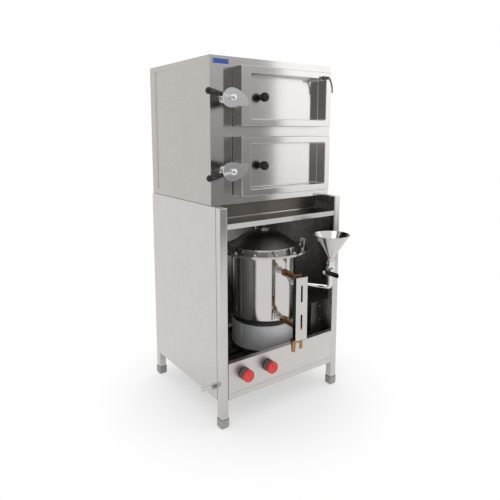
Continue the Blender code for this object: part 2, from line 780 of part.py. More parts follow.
def build_boiler():
    """The water vessel, its bolted lid, and the housing it stands on."""
    inner = BOILER_RADIUS - BOILER_WALL
    floor = BOILER_BOTTOM + BOILER_WALL
    shell = turned(
        [
            (0.0, BOILER_BOTTOM), (BOILER_RADIUS - BOILER_CORNER, BOILER_BOTTOM),
            (BOILER_RADIUS, BOILER_BOTTOM + BOILER_CORNER),
            (BOILER_RADIUS, BOILER_TOP - FLANGE_THICKNESS),
            (FLANGE_RADIUS, BOILER_TOP - FLANGE_THICKNESS), (FLANGE_RADIUS, BOILER_TOP),
            (inner, BOILER_TOP), (inner, floor + BOILER_CORNER), (inner - BOILER_CORNER, floor),
            (0.0, floor),
        ],
        ROUND_LARGE,
    )
    stubs = []
    for turn_deg, height, length in (
        (GAUGE_TURN_DEG, GAUGE_UPPER, STUB_LENGTH),
        (GAUGE_TURN_DEG, GAUGE_LOWER, STUB_LENGTH),
        (FILLER_TURN_DEG, FILLER_HEIGHT, PIPE_STUB),
    ):
        angle = math.radians(turn_deg)
        out = Vector((math.sin(angle), -math.cos(angle), 0.0))
        rise = Vector((0.0, 0.0, height))
        stubs.append(rod(
            STUB_RADIUS, out * (inner - WELD) + rise, out * (BOILER_RADIUS + length) + rise,
            steps=ROUND_MIDDLE,
        ))
    place = (BOILER_X, BOILER_Y, 0.0)
    smooth(piece("boiler_shell", joined(shell, *stubs), MIRROR_STEEL, place))

    plate_top = LID_BOTTOM + LID_FLANGE
    dome = []
    start_radius = LID_COLLAR_RADIUS - 2 * LID_BEAD
    for step in range(1, DOME_STEPS):
        share = step / DOME_STEPS
        radius = start_radius + (LID_BOSS_RADIUS - start_radius) * share
        height = LID_COLLAR_TOP + LID_DOME_HEIGHT * math.sin(share * math.pi / 2)
        dome.append((radius, height))
    neck = LID_COLLAR_TOP + LID_DOME_HEIGHT
    outside = [
        (FLANGE_RADIUS, LID_BOTTOM), (FLANGE_RADIUS, plate_top),
        (LID_COLLAR_RADIUS, plate_top), (LID_COLLAR_RADIUS, LID_COLLAR_TOP),
        (LID_COLLAR_RADIUS - LID_BEAD, LID_COLLAR_TOP + LID_BEAD),
        (start_radius, LID_COLLAR_TOP), *dome,
        (LID_BOSS_RADIUS, neck), (LID_BOSS_RADIUS, neck + LID_BOSS_HEIGHT),
        (STEAM_BORE, neck + LID_BOSS_HEIGHT),
    ]
    inside = [(STEAM_BORE, neck - LID_SHEET)]
    inside += [(radius - LID_SHEET, height - LID_SHEET) for radius, height in reversed(dome)]
    inside += [(start_radius - 2 * LID_SHEET, LID_BOTTOM)]
    lid = turned(outside + inside, ROUND_LARGE, closed=True)
    heads = []
    for index in range(BOLT_COUNT):
        angle = 2 * math.pi * index / BOLT_COUNT + math.radians(BOLT_TURN_DEG)
        spot = Vector((math.cos(angle), math.sin(angle), 0.0)) * BOLT_CIRCLE
        heads.append(hexagon(
            BOLT_HEAD, spot + Vector((0.0, 0.0, plate_top - WELD)),
            spot + Vector((0.0, 0.0, plate_top + BOLT_HEAD_HEIGHT)),
        ))
    angle = math.radians(HOOK_ANGLE_DEG)
    out = Vector((math.cos(angle), math.sin(angle), 0.0))
    foot = out * HOOK_CIRCLE + Vector((0.0, 0.0, plate_top - WELD))
    peak = foot + Vector((0.0, 0.0, HOOK_HEIGHT))
    tip = peak - out * HOOK_REACH
    drop = tip - Vector((0.0, 0.0, HOOK_REACH))
    bend = HOOK_REACH / 2 - WELD
    route = rounded_route((foot, peak, tip, drop), bend, HOOK_STEPS)
    heads.append(swept(route, HOOK_ROD, HOOK_SIDES))
    smooth(piece("boiler_lid", joined(lid, *heads), STEEL, place))

    outer = BOILER_RADIUS - BASE_RING_INSET
    ring_top = BOILER_BOTTOM - SEAT
    ring = turned(
        [
            (outer, ring_top), (outer, ring_top - BASE_RING_HEIGHT),
            (outer - BASE_RING_WIDTH, ring_top - BASE_RING_HEIGHT),
            (outer - BASE_RING_WIDTH, ring_top),
        ],
        ROUND_LARGE, closed=True,
    )
    smooth(piece("boiler_base_ring", ring, IRON, place))

    skirt_inner = BOILER_RADIUS - SKIRT_WALL
    ledge = outer - BASE_RING_WIDTH
    skirt = turned(
        [
            (BOILER_RADIUS, SKIRT_BOTTOM), (BOILER_RADIUS, SKIRT_TOP), (ledge, SKIRT_TOP),
            (ledge, SKIRT_TOP - SKIRT_WALL), (skirt_inner, SKIRT_TOP - SKIRT_WALL),
            (skirt_inner, SKIRT_BOTTOM),
        ],
        ROUND_LARGE, closed=True,
    )
    smooth(piece("burner_skirt", skirt, MIRROR_STEEL, place))


def build_burner():
    """The trivet that carries the boiler, and the ring burner bolted under it."""
    ring_bottom = TRIVET_TOP - TRIVET_RING
    ring = turned(
        [
            (TRIVET_RING_OUTER, TRIVET_TOP), (TRIVET_RING_OUTER, ring_bottom),
            (TRIVET_RING_INNER, ring_bottom), (TRIVET_RING_INNER, TRIVET_TOP),
        ],
        ROUND_LARGE, closed=True,
    )
    moved(ring, (BOILER_X, BOILER_Y, 0.0))
    bar_bottom = LOWER_RAIL_TOP + SEAT
    bar_top = bar_bottom + TRIVET_BAR
    bar_end = RAIL_OUTER - LOWER_RAIL / 2
    ring_middle = (TRIVET_RING_INNER + TRIVET_RING_OUTER) / 2
    leg_x = math.sqrt(max(ring_middle ** 2 - TRIVET_BAR_SPREAD ** 2, 0.0))
    parts = []
    for sign in (-1, 1):
        middle = BOILER_Y + sign * TRIVET_BAR_SPREAD
        near = middle - TRIVET_BAR_WIDTH / 2
        far = middle + TRIVET_BAR_WIDTH / 2
        parts.append(block((-bar_end, near, bar_bottom), (bar_end, far, bar_top)))
        for side in (-1, 1):
            spot = Vector((BOILER_X + side * leg_x, middle, bar_top - WELD))
            parts.append(rod(TRIVET_LEG, spot, (spot.x, spot.y, TRIVET_TOP - TRIVET_RING / 2)))
    legs = joined(parts[0], *parts[1:3])
    far_legs = joined(parts[3], *parts[4:])
    piece("boiler_trivet", joined(ring, legs, far_legs), IRON)

    bottom = BURNER_TOP - BURNER_HEIGHT
    crown = (BURNER_OUTER - BURNER_INNER) / 4
    body = turned(
        [
            (BURNER_OUTER, bottom + crown), (BURNER_OUTER, BURNER_TOP - crown),
            (BURNER_OUTER - crown, BURNER_TOP), (BURNER_INNER + crown, BURNER_TOP),
            (BURNER_INNER, BURNER_TOP - crown), (BURNER_INNER, bottom + crown),
            (BURNER_INNER + crown, bottom), (BURNER_OUTER - crown, bottom),
        ],
        ROUND_MIDDLE, closed=True,
    )
    moved(body, (BOILER_X, BOILER_Y, 0.0))
    middle_z = BURNER_TOP - BURNER_HEIGHT / 2
    centre = Vector((BOILER_X, BOILER_Y, middle_z))
    middle_radius = (BURNER_INNER + BURNER_OUTER) / 2
    parts = [rod(
        BURNER_HUB, (BOILER_X, BOILER_Y, bottom), (BOILER_X, BOILER_Y, BURNER_TOP),
        steps=ROUND_MIDDLE,
    )]
    half = BURNER_SPOKE / 2
    parts.append(block(
        centre - Vector((middle_radius, half, half)), centre + Vector((middle_radius, half, half))
    ))
    bolt_x = math.sqrt(max(middle_radius ** 2 - TRIVET_BAR_SPREAD ** 2, 0.0))
    for side in (-1, 1):
        for sign in (-1, 1):
            spot = centre + Vector((side * bolt_x, sign * TRIVET_BAR_SPREAD, 0.0))
            parts.append(rod(BURNER_BOLT, spot, (spot.x, spot.y, bar_top + SEAT)))
    valve_end = MANIFOLD_Y + VALVE_LENGTH / 2 + BURNER_AIR_GAP
    level = GAS_HEIGHT - BURNER_TUBE_DROP
    for valve_x, entry_deg in ((-GAS_LEFT, 0.0), (-GAS_RIGHT, BURNER_ENTRY_DEG)):
        start = Vector((valve_x, valve_end, GAS_HEIGHT))
        angle = math.radians(entry_deg)
        entry = centre - Vector((math.cos(angle), math.sin(angle), 0.0)) * middle_radius
        entry.z = level
        corner = Vector((valve_x, entry.y, level))
        bend = min(BURNER_BEND, (entry.x - valve_x) * BURNER_BEND_SHARE)
        parts.append(swept(rounded_route((start, corner, entry), bend), BURNER_TUBE))
    smooth(piece("ring_burner", joined(body, *parts), IRON))


def build_gas_controls():
    """The manifold with its two valves and hose nipple, and the two red knobs."""
    start = -SIDE - NIPPLE_LENGTH
    pipe = rod(
        MANIFOLD_RADIUS, (-SIDE - NIPPLE_NUT_LENGTH, MANIFOLD_Y, MANIFOLD_HEIGHT),
        (-GAS_RIGHT + MANIFOLD_END, MANIFOLD_Y, MANIFOLD_HEIGHT),
    )
    nut_start = -SIDE - NIPPLE_NUT_LENGTH - SEAT
    nut_end = Vector((-SIDE - SEAT, MANIFOLD_Y, MANIFOLD_HEIGHT))
    parts = [hexagon(NIPPLE_NUT, (nut_start, MANIFOLD_Y, MANIFOLD_HEIGHT), nut_end)]
    tail = nut_start - start
    barb = tail / NIPPLE_BARBS
    profile = [(0.0, start)]
    for index in range(NIPPLE_BARBS):
        at = start + barb * index
        profile += [(NIPPLE_TIP, at), (NIPPLE_BARB, at + barb - WELD)]
    profile += [(NIPPLE_TIP, nut_start + WELD), (0.0, nut_start + WELD)]
    parts.append(moved(turned(profile, ROUND_SMALL, "x"), (0.0, MANIFOLD_Y, MANIFOLD_HEIGHT)))
    for valve_x in (-GAS_LEFT, -GAS_RIGHT):
        near = MANIFOLD_Y - VALVE_LENGTH / 2
        far = MANIFOLD_Y + VALVE_LENGTH / 2
        parts.append(rod(
            VALVE_RADIUS - WELD, (valve_x, MANIFOLD_Y, MANIFOLD_HEIGHT),
            (valve_x, MANIFOLD_Y, GAS_HEIGHT),
        ))
        parts.append(rod(VALVE_CAP, (valve_x, near, GAS_HEIGHT), (valve_x, far, GAS_HEIGHT)))
        parts.append(rod(
            STEM_RADIUS, (valve_x, near + WELD, GAS_HEIGHT),
            (valve_x, FRONT - KNOB_STANDOFF - KNOB_SOCKET + SEAT, GAS_HEIGHT),
        ))
    smooth(piece("gas_manifold", joined(pipe, *parts), BRASS))

    tip = -KNOB_LENGTH
    for name, valve_x in (("left", -GAS_LEFT), ("right", -GAS_RIGHT)):
        knob = turned(
            [
                (STEM_RADIUS + SEAT, 0.0), (KNOB_RADIUS - WELD, 0.0), (KNOB_RADIUS, -KNOB_EDGE),
                (KNOB_RADIUS - WELD, tip + KNOB_EDGE), (KNOB_RADIUS - KNOB_EDGE, tip),
                (KNOB_DISH_RADIUS, tip), (KNOB_DISH_RADIUS - KNOB_DISH_DEPTH, tip + KNOB_DISH_DEPTH),
                (0.0, tip + KNOB_DISH_DEPTH), (0.0, -KNOB_SOCKET), (STEM_RADIUS + SEAT, -KNOB_SOCKET),
            ],
            ROUND_MIDDLE, "y", closed=True,
        )
        place = (valve_x, FRONT - KNOB_STANDOFF, GAS_HEIGHT)
        smooth(piece(f"gas_knob_{name}", knob, RED, place), 30.0)


def build_gauge():
    """The water gauge: two brass cocks, the glass, its guard and the drain cock."""
    place = (BOILER_X, BOILER_Y, 0.0)
    start = -BOILER_RADIUS - STUB_LENGTH - SEAT
    glass_y = -GAUGE_GLASS_REACH
    front = -GAUGE_FRONT_REACH + GUARD_SHEET + SEAT
    glass_hole = GLASS_RADIUS + SEAT
    for name, height, sign in (("upper", GAUGE_UPPER, -1), ("lower", GAUGE_LOWER, 1)):
        body = rod(COCK_RADIUS, (0.0, start, height), (0.0, front, height))
        nut = hexagon(COCK_NUT, (0.0, start, height), (0.0, start - COCK_NUT_LENGTH, height))
        socket_end = height + sign * SOCKET_DROP
        socket = rod(
            SOCKET_RADIUS, (0.0, glass_y, height - sign * SOCKET_RISE), (0.0, glass_y, socket_end),
            steps=ROUND_FITTING,
        )
        bore = rod(
            glass_hole, (0.0, glass_y, socket_end - sign * GLASS_SEAT_DEPTH),
            (0.0, glass_y, socket_end + sign * OVERRUN), steps=ROUND_FITTING,
        )
        solid = cut(joined(body, nut, socket), bore)
        smooth(piece(f"gauge_cock_{name}", solid, BRASS, place, GAUGE_TURN_DEG))

    low = GAUGE_LOWER + SOCKET_DROP - GLASS_SEAT_DEPTH + SEAT
    high = GAUGE_UPPER - SOCKET_DROP + GLASS_SEAT_DEPTH - SEAT
    inner = GLASS_RADIUS - GLASS_WALL
    tube = turned(
        [(GLASS_RADIUS, low), (GLASS_RADIUS, high), (inner, high), (inner, low)],
        ROUND_FITTING, closed=True,
    )
    moved(tube, (0.0, glass_y, 0.0))
    smooth(piece("gauge_glass", tube, GLASS, place, GAUGE_TURN_DEG))

    half = GUARD_WIDTH / 2
    guard_back = -GAUGE_FRONT_REACH + GUARD_DEPTH
    fold = folded(
        [
            (-half, guard_back), (-half, -GAUGE_FRONT_REACH), (half, -GAUGE_FRONT_REACH),
            (half, guard_back),
        ],
        GUARD_SHEET,
    )
    guard = extruded(fold, "z", GUARD_BOTTOM, GUARD_TOP)
    slots = []
    for slot_low, slot_high in (LOWER_SLOT, UPPER_SLOT):
        slot = block(
            (-GUARD_SLOT_WIDTH / 2, -GAUGE_FRONT_REACH - OVERRUN, slot_low),
            (GUARD_SLOT_WIDTH / 2, -GAUGE_FRONT_REACH + OVERRUN, slot_high),
        )
        bevelled(slot, along(slot, 1), GUARD_SLOT_WIDTH / 2 - WELD, SLOT_STEPS)
        slots.append(slot)
    piece("gauge_guard", cut(guard, *slots), MIRROR_STEEL, place, GAUGE_TURN_DEG)

    neck_top = GAUGE_LOWER - SOCKET_RISE - SEAT
    neck = rod(DRAIN_RADIUS - WELD, (0.0, glass_y, neck_top), (0.0, glass_y, DRAIN_HEIGHT))
    bar = rod(
        DRAIN_RADIUS, (-DRAIN_HALF_WIDTH, glass_y, DRAIN_HEIGHT),
        (DRAIN_LEG_OFFSET - DRAIN_LEVER_WIDTH / 2, glass_y, DRAIN_HEIGHT),
    )
    nozzle = rod(
        DRAIN_NOZZLE_TOP, (-DRAIN_LEG_OFFSET, glass_y, DRAIN_HEIGHT),
        (-DRAIN_LEG_OFFSET, glass_y, DRAIN_HEIGHT - DRAIN_NOZZLE_LENGTH), tip=DRAIN_NOZZLE_TIP,
    )
    stem_start = DRAIN_LEG_OFFSET - DRAIN_LEVER_WIDTH / 2
    stem = rod(
        DRAIN_STEM, (stem_start - WELD, glass_y, DRAIN_HEIGHT),
        (stem_start + DRAIN_STEM_LENGTH, glass_y, DRAIN_HEIGHT),
    )
    cock = joined(neck, bar, nozzle, stem)
    smooth(piece("gauge_drain_cock", cock, BRASS, place, GAUGE_TURN_DEG))

    turn = Matrix.Rotation(math.radians(GAUGE_TURN_DEG), 3, "Z")
    pivot = Vector(place) + turn @ Vector(
        (stem_start + DRAIN_LEVER_GAP, glass_y, DRAIN_HEIGHT)
    )
    hub_radius = DRAIN_LEVER_WIDTH / 2
    hub = rod(hub_radius, (0.0, 0.0, 0.0), (DRAIN_LEVER_WIDTH, 0.0, 0.0), steps=ROUND_FITTING)
    arm = block(
        (0.0, -DRAIN_LEVER_THICKNESS / 2, -DRAIN_LEVER_LENGTH),
        (DRAIN_LEVER_WIDTH, DRAIN_LEVER_THICKNESS / 2, 0.0),
    )
    bore = rod(
        DRAIN_STEM + SEAT, (-OVERRUN, 0.0, 0.0),
        (DRAIN_STEM_LENGTH - DRAIN_LEVER_GAP + SEAT, 0.0, 0.0),
    )
    lever = cut(joined(hub, arm), bore)
    smooth(piece("gauge_drain_lever", lever, BRASS, pivot, GAUGE_TURN_DEG))


def build_filler():
    """The fill pipe with its ball valve, the valve's lever and the funnel."""
    angle = math.radians(FILLER_TURN_DEG)
    out = Vector((math.sin(angle), -math.cos(angle), 0.0))
    start = Vector((BOILER_X, BOILER_Y, FILLER_HEIGHT)) + out * (BOILER_RADIUS + PIPE_STUB + SEAT)
    corner = Vector((FILLER_X, FILLER_Y, FILLER_HEIGHT))
    end = Vector((FILLER_X, FILLER_Y, VALVE_BOTTOM + WELD))
    pipe = swept(rounded_route((start, corner, end), PIPE_BEND), PIPE_RADIUS, ROUND_FITTING)
    span = VALVE_TOP - VALVE_BOTTOM
    hex_height = span / 4
    spot = Vector((FILLER_X, FILLER_Y, VALVE_BOTTOM))
    rise = Vector((0.0, 0.0, hex_height))
    lower_nut = hexagon(VALVE_HEX, spot, spot + rise)
    spot = Vector((FILLER_X, FILLER_Y, VALVE_TOP))
    upper_nut = hexagon(VALVE_HEX, spot - rise, spot)
    ball = turned(
        [
            (0.0, VALVE_BOTTOM + hex_height / 2), (VALVE_HEX - 2 * WELD, VALVE_BOTTOM + hex_height / 2),
            (VALVE_BALL, VALVE_BOTTOM + span / 3), (VALVE_BALL, VALVE_TOP - span / 3),
            (VALVE_HEX - 2 * WELD, VALVE_TOP - hex_height / 2), (0.0, VALVE_TOP - hex_height / 2),
        ],
        ROUND_MIDDLE,
    )
    moved(ball, (FILLER_X, FILLER_Y, 0.0))
    boss = rod(
        VALVE_BOSS_RADIUS, (FILLER_X, FILLER_Y, VALVE_STEM_HEIGHT),
        (FILLER_X - VALVE_BOSS_REACH, FILLER_Y, VALVE_STEM_HEIGHT),
    )
    nut_x = VALVE_LEVER_X - VALVE_LEVER_THICKNESS - SEAT
    stem = rod(
        VALVE_STEM_RADIUS, (FILLER_X, FILLER_Y, VALVE_STEM_HEIGHT),
        (nut_x - VALVE_NUT_LENGTH / 2, FILLER_Y, VALVE_STEM_HEIGHT),
    )
    nut = hexagon(
        VALVE_NUT_RADIUS, (nut_x, FILLER_Y, VALVE_STEM_HEIGHT),
        (nut_x - VALVE_NUT_LENGTH, FILLER_Y, VALVE_STEM_HEIGHT),
    )
    valve = joined(pipe, lower_nut, ball, upper_nut, boss, stem, nut)
    smooth(piece("fill_pipe_and_valve", valve, CHROME))

    half = VALVE_LEVER_WIDTH / 2
    outline = []
    ends = ((-VALVE_LEVER_LENGTH + half, math.pi / 2), (VALVE_LEVER_TAIL - half, -math.pi / 2))
    for centre_y, first in ends:
        for step in range(LEVER_STEPS + 1):
            at = first + math.pi * step / LEVER_STEPS
            outline.append((centre_y + half * math.cos(at), half * math.sin(at)))
    plate = extruded(outline, "x", -VALVE_LEVER_THICKNESS, 0.0)
    hole = rod(
        VALVE_STEM_RADIUS + SEAT, (-VALVE_LEVER_THICKNESS - OVERRUN, 0.0, 0.0), (OVERRUN, 0.0, 0.0)
    )
    place = (VALVE_LEVER_X, FILLER_Y, VALVE_STEM_HEIGHT)
    smooth(piece("fill_valve_lever", cut(plate, hole), BLACK, place), 40.0)

    low = VALVE_TOP + SEAT
    high = low + FUNNEL_HEIGHT
    rim = FUNNEL_RADIUS - FUNNEL_RIM / 2
    funnel = turned(
        [
            (FUNNEL_NECK, low), (FUNNEL_NECK, low + FUNNEL_NECK), (rim, high - FUNNEL_RIM),
            (FUNNEL_RADIUS, high - FUNNEL_RIM / 2), (rim, high), (rim - FUNNEL_WALL, high),
            (FUNNEL_NECK - FUNNEL_WALL, low + FUNNEL_NECK + FUNNEL_WALL),
            (FUNNEL_NECK - FUNNEL_WALL, low),
        ],
        ROUND_LARGE, closed=True,
    )
    moved(funnel, (FILLER_X, FILLER_Y, 0.0))
    smooth(piece("fill_funnel", funnel, MIRROR_STEEL))


def build_steam_pipe():
    """The pipe that takes steam from the lid up into the lower chamber."""
    low = LID_TOP + SEAT
    high = LOWER_DOOR[0] + DOOR_LAP + STEAM_STAND_UP
    union_middle = (LEDGE_HEIGHT + BOX_BOTTOM) / 2
    pipe = turned(
        [
            (STEAM_BORE, low), (STEAM_FLANGE, low), (STEAM_FLANGE, low + STEAM_FLANGE_THICKNESS),
            (STEAM_RADIUS, low + STEAM_FLANGE_THICKNESS), (STEAM_RADIUS, high), (STEAM_BORE, high),
        ],
        ROUND_SMALL, closed=True,
    )
    nut_low = union_middle - STEAM_UNION_HEIGHT / 2
    nut_high = union_middle + STEAM_UNION_HEIGHT / 2
    nut = hexagon(STEAM_UNION, (0.0, 0.0, nut_low), (0.0, 0.0, nut_high))
    bore_radius = (STEAM_BORE + STEAM_RADIUS) / 2
    bore = rod(bore_radius, (0.0, 0.0, nut_low - OVERRUN), (0.0, 0.0, nut_high + OVERRUN))
    solid = joined(pipe, cut(nut, bore))
    smooth(piece("steam_pipe", solid, CHROME, (BOILER_X, BOILER_Y, 0.0)))


def build_box_shell():
    """The outer casing: five folded sheets with a pressed panel in each side."""
    made = block(
        (-BOX_WIDTH / 2, CHAMBER_FRONT, BOX_BOTTOM), (BOX_WIDTH / 2, BOX_BACK, BOX_TOP)
    )
    made.faces.ensure_lookup_table()
    mouth = min(made.faces, key=lambda face: face.calc_center_median().y)
    bmesh.ops.delete(made, geom=[mouth], context="FACES")
    sides = [face for face in made.faces if abs(face.normal.x) > math.cos(math.radians(1.0))]
    for face in sides:
        sign = math.copysign(1.0, face.normal.x)
        bmesh.ops.inset_individual(made, faces=[face], thickness=PANEL_BORDER_TOP)
        bmesh.ops.inset_individual(made, faces=[face], thickness=PANEL_RECESS)
        for corner in face.verts:
            corner.co.x -= sign * PANEL_RECESS
        rim = {vert for edge in face.edges for vert in edge.verts}
        ring = {
            other.other_vert(vert)
            for vert in rim for other in vert.link_edges
            if other.other_vert(vert) not in rim
        }
        for group, setback in ((ring, 0.0), (rim, PANEL_RECESS)):
            for vert in group:
                front_side = vert.co.y < (CHAMBER_FRONT + BOX_BACK) / 2
                low_side = vert.co.z < (BOX_BOTTOM + BOX_TOP) / 2
                if front_side:
                    vert.co.y = BOX_FRONT + PANEL_BORDER_FRONT + setback
                else:
                    vert.co.y = BOX_BACK - PANEL_BORDER_BACK - setback
                if low_side:
                    vert.co.z = BOX_BOTTOM + PANEL_BORDER_BOTTOM + setback
                else:
                    vert.co.z = BOX_TOP - PANEL_BORDER_TOP - setback
    shell = helper(made)
    wall = shell.modifiers.new("wall", "SOLIDIFY")
    wall.thickness = CHAMBER_WALL
    wall.offset = -1.0
    wall.use_even_offset = True
    bpy.context.view_layer.update()
    graph = bpy.context.evaluated_depsgraph_get()
    mesh = bpy.data.meshes.new_from_object(shell.evaluated_get(graph))
    bpy.data.objects.remove(shell)
    walls = bmesh.new()
    walls.from_mesh(mesh)
    hole = rod(
        STEAM_RADIUS + SEAT, (BOILER_X, BOILER_Y, BOX_BOTTOM - OVERRUN),
        (BOILER_X, BOILER_Y, BOX_BOTTOM + OVERRUN), steps=ROUND_PORT,
    )
    piece("box_shell", cut(walls, hole), MIRROR_STEEL)


def build_front_frame():
    """The front sheet with both openings, its return and the latch studs."""
    half = BOX_WIDTH / 2
    plate = block((-half, BOX_FRONT, BOX_BOTTOM), (half, BOX_FRONT + SHEET, BOX_TOP))
    inset = CHAMBER_WALL + SEAT
    lip = BOX_FRONT + SHEET + FRAME_RETURN
    outer = block(
        (-half + inset, BOX_FRONT + SHEET / 2, BOX_BOTTOM + inset),
        (half - inset, lip, BOX_TOP - inset),
    )
    inner = block(
        (-half + inset + SHEET, BOX_FRONT - OVERRUN, BOX_BOTTOM + inset + SHEET),
        (half - inset - SHEET, lip + OVERRUN, BOX_TOP - inset - SHEET),
    )
    frame = joined(plate, cut(outer, inner))
    windows = []
    for low, high in (UPPER_DOOR, LOWER_DOOR):
        windows.append(block(
            (OPENING_LEFT, BOX_FRONT - OVERRUN, low + DOOR_LAP),
            (OPENING_RIGHT, BOX_FRONT + OVERRUN, high - DOOR_LAP),
        ))
    frame = cut(frame, *windows)
    studs = []
    shoulder = CAM_BACK_PLANE + SEAT
    for height in (UPPER_DOOR[1] - UPPER_LATCH_DROP, LOWER_DOOR[0] + LOWER_LATCH_RISE):
        stud = turned(
            [
                (0.0, BOX_FRONT + WELD), (LATCH_BASE_RADIUS, BOX_FRONT + WELD),
                (LATCH_BASE_RADIUS, BOX_FRONT - LATCH_BASE_HEIGHT / 2),
                (LATCH_NECK_RADIUS + LATCH_BASE_HEIGHT / 2, BOX_FRONT - LATCH_BASE_HEIGHT),
                (LATCH_NECK_RADIUS, BOX_FRONT - 2 * LATCH_BASE_HEIGHT),
                (LATCH_NECK_RADIUS, shoulder), (LATCH_PIN_RADIUS, shoulder),
                (LATCH_PIN_RADIUS, CAM_BACK_PLANE - LATCH_PIN_LENGTH),
                (0.0, CAM_BACK_PLANE - LATCH_PIN_LENGTH),
            ],
            ROUND_SMALL, "y",
        )
        studs.append(moved(stud, (LATCH_X, 0.0, height)))
    made = piece("front_frame", joined(frame, *studs), MIRROR_STEEL)
    smooth(made, 30.0)


def build_chambers():
    """Two open-fronted steam chambers with tray runners and wall spacers."""
    tiers = (("upper", UPPER_DOOR, UPPER_RUNNERS), ("lower", LOWER_DOOR, LOWER_RUNNERS))
    shell_inner = BOX_WIDTH / 2 - PANEL_RECESS - CHAMBER_WALL - SEAT
    riser_y = CHAMBER_BACK - RISER_SETBACK
    riser_x = (OPENING_LEFT + OPENING_RIGHT) / 2
    lower_ceiling = LOWER_DOOR[1] - DOOR_LAP
    for name, door, runners in tiers:
        low = door[0] + DOOR_LAP
        high = door[1] - DOOR_LAP
        wall = CHAMBER_WALL
        outer = block(
            (OPENING_LEFT - wall, CHAMBER_FRONT, low - wall),
            (OPENING_RIGHT + wall, CHAMBER_BACK, high + wall),
        )
        lip = block(
            (OPENING_LEFT - CHAMBER_LIP, CHAMBER_FRONT, low - CHAMBER_LIP),
            (OPENING_RIGHT + CHAMBER_LIP, CHAMBER_FRONT + wall, high + CHAMBER_LIP),
        )
        solid = joined(outer, lip)
        if name == "upper":
            riser = rod(
                RISER_RADIUS, (riser_x, riser_y, lower_ceiling - SEAT),
                (riser_x, riser_y, low - wall / 2), steps=ROUND_MIDDLE,
            )
            solid = joined(solid, riser)
        cavity = block(
            (OPENING_LEFT, CHAMBER_FRONT - OVERRUN, low), (OPENING_RIGHT, CHAMBER_BACK - wall, high)
        )
        solid = cut(solid, cavity)
        ledges = []
        for level in runners:
            near = CHAMBER_FRONT + RUNNER_SETBACK
            far = CHAMBER_BACK - wall / 2
            ledges.append(block(
                (OPENING_LEFT - wall / 2, near, level - wall),
                (OPENING_LEFT + RUNNER_WIDTH, far, level),
            ))
            ledges.append(block(
                (OPENING_RIGHT - RUNNER_WIDTH, near, level - wall),
                (OPENING_RIGHT + wall / 2, far, level),
            ))
            middle = (CHAMBER_FRONT + CHAMBER_BACK) / 2
            start = middle - SPACER_LENGTH / 2
            end = middle + SPACER_LENGTH / 2
            ledges.append(block(
                (-shell_inner, start, level - wall), (OPENING_LEFT - wall / 2, end, level)
            ))
            ledges.append(block(
                (OPENING_RIGHT + wall / 2, start, level - wall), (shell_inner, end, level)
            ))
        solid = joined(solid, *ledges)
        if name == "upper":
            bore = rod(
                RISER_RADIUS - wall, (riser_x, riser_y, lower_ceiling - OVERRUN),
                (riser_x, riser_y, low + OVERRUN), steps=ROUND_MIDDLE,
            )
            solid = cut(solid, bore)
        else:
            inlet = rod(
                STEAM_RADIUS + SEAT, (BOILER_X, BOILER_Y, low - OVERRUN),
                (BOILER_X, BOILER_Y, low + OVERRUN), steps=ROUND_PORT,
            )
            outlet = rod(
                RISER_RADIUS + SEAT, (riser_x, riser_y, high - OVERRUN),
                (riser_x, riser_y, high + OVERRUN), steps=ROUND_MIDDLE,
            )
            solid = cut(solid, inlet, outlet)
        piece(f"{name}_chamber", solid, STEEL)


def tray_surface(left, right, near, far, height):
    """The tray's sheet: a lipped plate with a grid of dished idli cups."""
    made = bmesh.new()
    plate = [
        made.verts.new(corner) for corner in (
            (left, near, height), (right, near, height), (right, far, height), (left, far, height)
        )
    ]
    border = [made.edges.new((plate[i], plate[(i + 1) % len(plate)])) for i in range(len(plate))]
    edges = list(border)
    rims = []
    for column in range(CUP_COLUMNS):
        for row in range(CUP_ROWS):
            centre_x = left + (right - left) * (column + 0.5) / CUP_COLUMNS
            centre_y = near + (far - near) * (row + 0.5) / CUP_ROWS
            ring = []
            for step in range(CUP_SIDES):
                angle = 2 * math.pi * (step + 0.5) / CUP_SIDES
                ring.append(made.verts.new((
                    centre_x + CUP_RADIUS * math.cos(angle),
                    centre_y + CUP_RADIUS * math.sin(angle), height,
                )))
            loop = [
                made.edges.new((ring[step], ring[(step + 1) % CUP_SIDES]))
                for step in range(CUP_SIDES)
            ]
            edges += loop
            rims.append((Vector((centre_x, centre_y, height)), ring))
    bmesh.ops.triangle_fill(made, use_beauty=True, use_dissolve=False, edges=edges)
    for centre, ring in rims:
        floor = []
        for vert in ring:
            spoke = (vert.co - centre) * CUP_FLOOR_SHARE
            spoke.z = -CUP_DEPTH
            floor.append(made.verts.new(centre + spoke))
        for step in range(CUP_SIDES):
            follow = (step + 1) % CUP_SIDES
            made.faces.new((ring[step], ring[follow], floor[follow], floor[step]))
        made.faces.new(floor)
    turned_down = bmesh.ops.extrude_edge_only(made, edges=border)["geom"]
    corners = [item for item in turned_down if isinstance(item, bmesh.types.BMVert)]
    bmesh.ops.translate(made, verts=corners, vec=(0.0, 0.0, -TRAY_LIP))
    bmesh.ops.recalc_face_normals(made, faces=made.faces)
    return made


